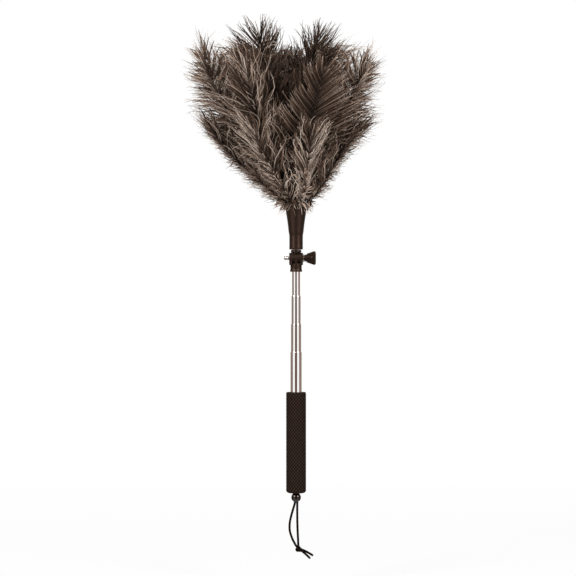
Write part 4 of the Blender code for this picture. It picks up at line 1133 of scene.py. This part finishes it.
    def shaft(self):
        """The quill and the shaft as a round rod, and its places on the tone map."""
        stops = np.linspace(0.0, self.last + 0.2 * (self.walked[-1] - self.last), shaft_points)
        line = np.vstack([self.curve[0] + (quill_foot - plume_base) * up, self.curve[0] - 2 * mm * up,
                          self.at(stops, self.curve)])
        share = np.linspace(0.0, 1.0, len(line))
        angle = np.arange(shaft_sides) * full_turn / shaft_sides
        ring = rings_round(line, unit(np.gradient(line, axis=0)), self.side,
                           mm * np.interp(share, *shaft_radii)[:, None], angle)[0]
        across = np.append(np.tile(np.linspace(0.02, 0.10, shaft_sides), len(line)), [0.05, 0.05])
        upward = np.append(np.repeat(0.15 + 0.8 * share, shaft_sides), [0.1, 0.99])
        return skin(ring), np.stack([across, upward], axis=1)


def make_plume(name, layer, index, seed):
    """One plume: its shaft from the quill up, barbs on both sides, barbules on the barbs and down behind."""
    plume = Plume(layer, index, seed)
    plume.grow_barbs()
    along = np.linspace(0.0, 1.0, barb_segments + 1)
    half_width = plume.own["stout"] * mm * np.interp(along, *barb_half_widths)
    barbs, facing, beside = strands(plume.line, plume.ahead, plume.face[:, None], half_width)
    plume.tone_barbs()
    # The end gain paints barbs lighter towards their ends, partly as painted light.
    parts = [(barbs, strands_on_map(plume.tone, along, plume.own["end"])), plume.barbules(facing, beside),
             plume.down(), plume.shaft()]
    solid = together(*[part for part, _ in parts])
    made = piece(f"{name}_feather", solid, "head", feather, [name], None)
    corners = np.concatenate([group.ravel() for group in solid[1]])
    uv = np.clip(np.vstack([places for _, places in parts])[corners], 0.0, 1.0)
    made.data.uv_layers.new(name=strand_map).uv.foreach_set("vector", uv.astype(np.float32).ravel())


make_ferrule()
make_bindings()
seed = 0
for layer_name, layer in plume_layers.items():
    for index in range(layer["count"]):
        seed += 1
        make_plume(f"{layer_name}_{index + 1}", layer, index, seed)


# The stage: floor, lights and what the chrome mirrors. Lengths are metres, and angles are degrees from
# the camera's side.

white = (1.0, 1.0, 1.0, 1.0)
card_columns = 13
lamp_aim_height = 0.25


def plain_surface(name, places, quads, finish):
    """A mesh of the stage, which is no part of the duster."""
    mesh = mesh_of(name, (np.array(places, float), [np.array(quads)]))
    mesh.materials.append(finish)
    made = put_in_scene(name, mesh)
    return made


def seen(tree, kinds):
    """A number that is 1 for rays of any of some kinds and 0 for all others."""
    rays = wire(tree, "ShaderNodeLightPath").outputs
    found = rays[kinds[0]]
    for kind in kinds[1:]:
        found = wire(tree, "ShaderNodeMath", {0: found, 1: rays[kind]}, operation="MAXIMUM").outputs[0]
    return found


def make_floor():
    """A floor that is nearly white to the camera and in reflections, and keeps the duster's shadow.

    The white share grows with the distance from the duster, so the floor runs out into the background.
    """
    finish = bpy.data.materials.new("pale_floor")
    finish.use_nodes = True
    tree = finish.node_tree
    tree.nodes.clear()
    place = wire(tree, "ShaderNodeTexCoord").outputs["Object"]
    distance = wire(tree, "ShaderNodeVectorMath", {0: place}, operation="LENGTH").outputs["Value"]
    whiter = wire(tree, "ShaderNodeMapRange", {"Value": distance, "From Min": 0.3, "From Max": 1.4,
                                               "To Min": 0.86, "To Max": 1.0}).outputs[0]
    share = wire(tree, "ShaderNodeMath", {0: seen(tree, ["Is Camera Ray", "Is Glossy Ray"]), 1: whiter},
                 operation="MULTIPLY").outputs[0]
    diffuse = wire(tree, "ShaderNodeBsdfDiffuse", {"Color": (0.97, 0.97, 0.97, 1.0)}).outputs[0]
    glow = wire(tree, "ShaderNodeEmission", {"Color": white}).outputs[0]
    mixed = wire(tree, "ShaderNodeMixShader", {0: share, 1: diffuse, 2: glow}).outputs[0]
    wire(tree, "ShaderNodeOutputMaterial", {"Surface": mixed})
    low, far = -0.16, 6.0
    plain_surface("floor", [(-far, -far, low), (far, -far, low), (far, far, low), (-far, far, low)],
                  [(0, 1, 2, 3)], finish)


def make_card(name, start, end, colour, distance=1.4, low=-0.15, high=1.5, inner=None):
    """A curved card that only reflections see, round the duster between two angles from the camera.

    It is a ring's wall. With inner, it also lies on the floor from that radius out to the wall's foot.
    """
    angle = np.radians(np.linspace(start, end, card_columns)) - math.pi / 2
    rows = [(distance, low), (distance, high)]
    if inner:
        rows = [(inner, low)] + rows
    radius, height = np.array(rows).T[..., None]
    places = np.stack([radius * np.cos(angle), radius * np.sin(angle),
                       np.broadcast_to(height, (len(rows), card_columns))], axis=-1).reshape(-1, 3)
    index = np.arange(len(places)).reshape(len(rows), card_columns)
    first, next_row = index[:-1], index[1:]
    quads = np.stack([first[:, :-1], first[:, 1:], next_row[:, 1:], next_row[:, :-1]], axis=-1).reshape(-1, 4)
    finish = Finish(name, Base_Color=(0.0, 0.0, 0.0, 1.0), Specular_IOR_Level=0.0,
                    Emission_Color=(*colour, 1.0), Emission_Strength=1.0)
    card = plain_surface(name, places, quads, finish.material)
    card.visible_camera = card.visible_diffuse = card.visible_shadow = card.visible_transmission = False
    card.visible_volume_scatter = False


def make_lamp(name, azimuth, height, distance, size, watts):
    """A soft square lamp at an angle from the camera, turned to the duster's middle."""
    data = bpy.data.lights.new(name, "AREA")
    data.size = size
    data.energy = watts
    lamp = put_in_scene(name, data)
    angle = math.radians(azimuth) - math.pi / 2
    lamp.location = (distance * math.cos(angle), distance * math.sin(angle), height)
    aim = lamp.location.copy()
    aim.z -= lamp_aim_height
    lamp.rotation_euler = aim.to_track_quat("Z", "Y").to_euler()


def make_world():
    """White to the camera, in reflections and through what is clear, and a softer light otherwise."""
    world = bpy.data.worlds.new("studio")
    bpy.context.scene.world = world
    world.use_nodes = True
    tree = world.node_tree
    tree.nodes.clear()
    share = seen(tree, ["Is Camera Ray", "Is Glossy Ray", "Is Transmission Ray"])
    soft = wire(tree, "ShaderNodeBackground", {"Color": white, "Strength": 0.34}).outputs[0]
    bright = wire(tree, "ShaderNodeBackground", {"Color": white, "Strength": 1.0}).outputs[0]
    mixed = wire(tree, "ShaderNodeMixShader", {0: share, 1: soft, 2: bright}).outputs[0]
    wire(tree, "ShaderNodeOutputWorld", {"Surface": mixed})


make_floor()
make_world()
make_card("card_behind_camera", -25.0, 21.0, (0.125, 0.080, 0.062), inner=0.10)
make_card("card_right", 62.0, 150.0, (0.27, 0.20, 0.17), inner=0.10)
make_card("card_left", -150.0, -66.0, (0.25, 0.19, 0.16), inner=0.10)
make_card("card_high_right", 36.0, 64.0, (22.0, 20.0, 18.5), distance=1.6, low=0.6, high=1.6)
make_card("card_high_left", -64.0, -36.0, (22.0, 20.0, 18.5), distance=1.6, low=0.6, high=1.6)
make_lamp("lamp_left", -38.0, 1.25, 1.7, 0.5, 25.0)
make_lamp("lamp_right", 40.0, 1.15, 1.8, 0.5, 20.0)
make_lamp("lamp_back", 180.0, 1.4, 1.7, 0.9, 9.0)
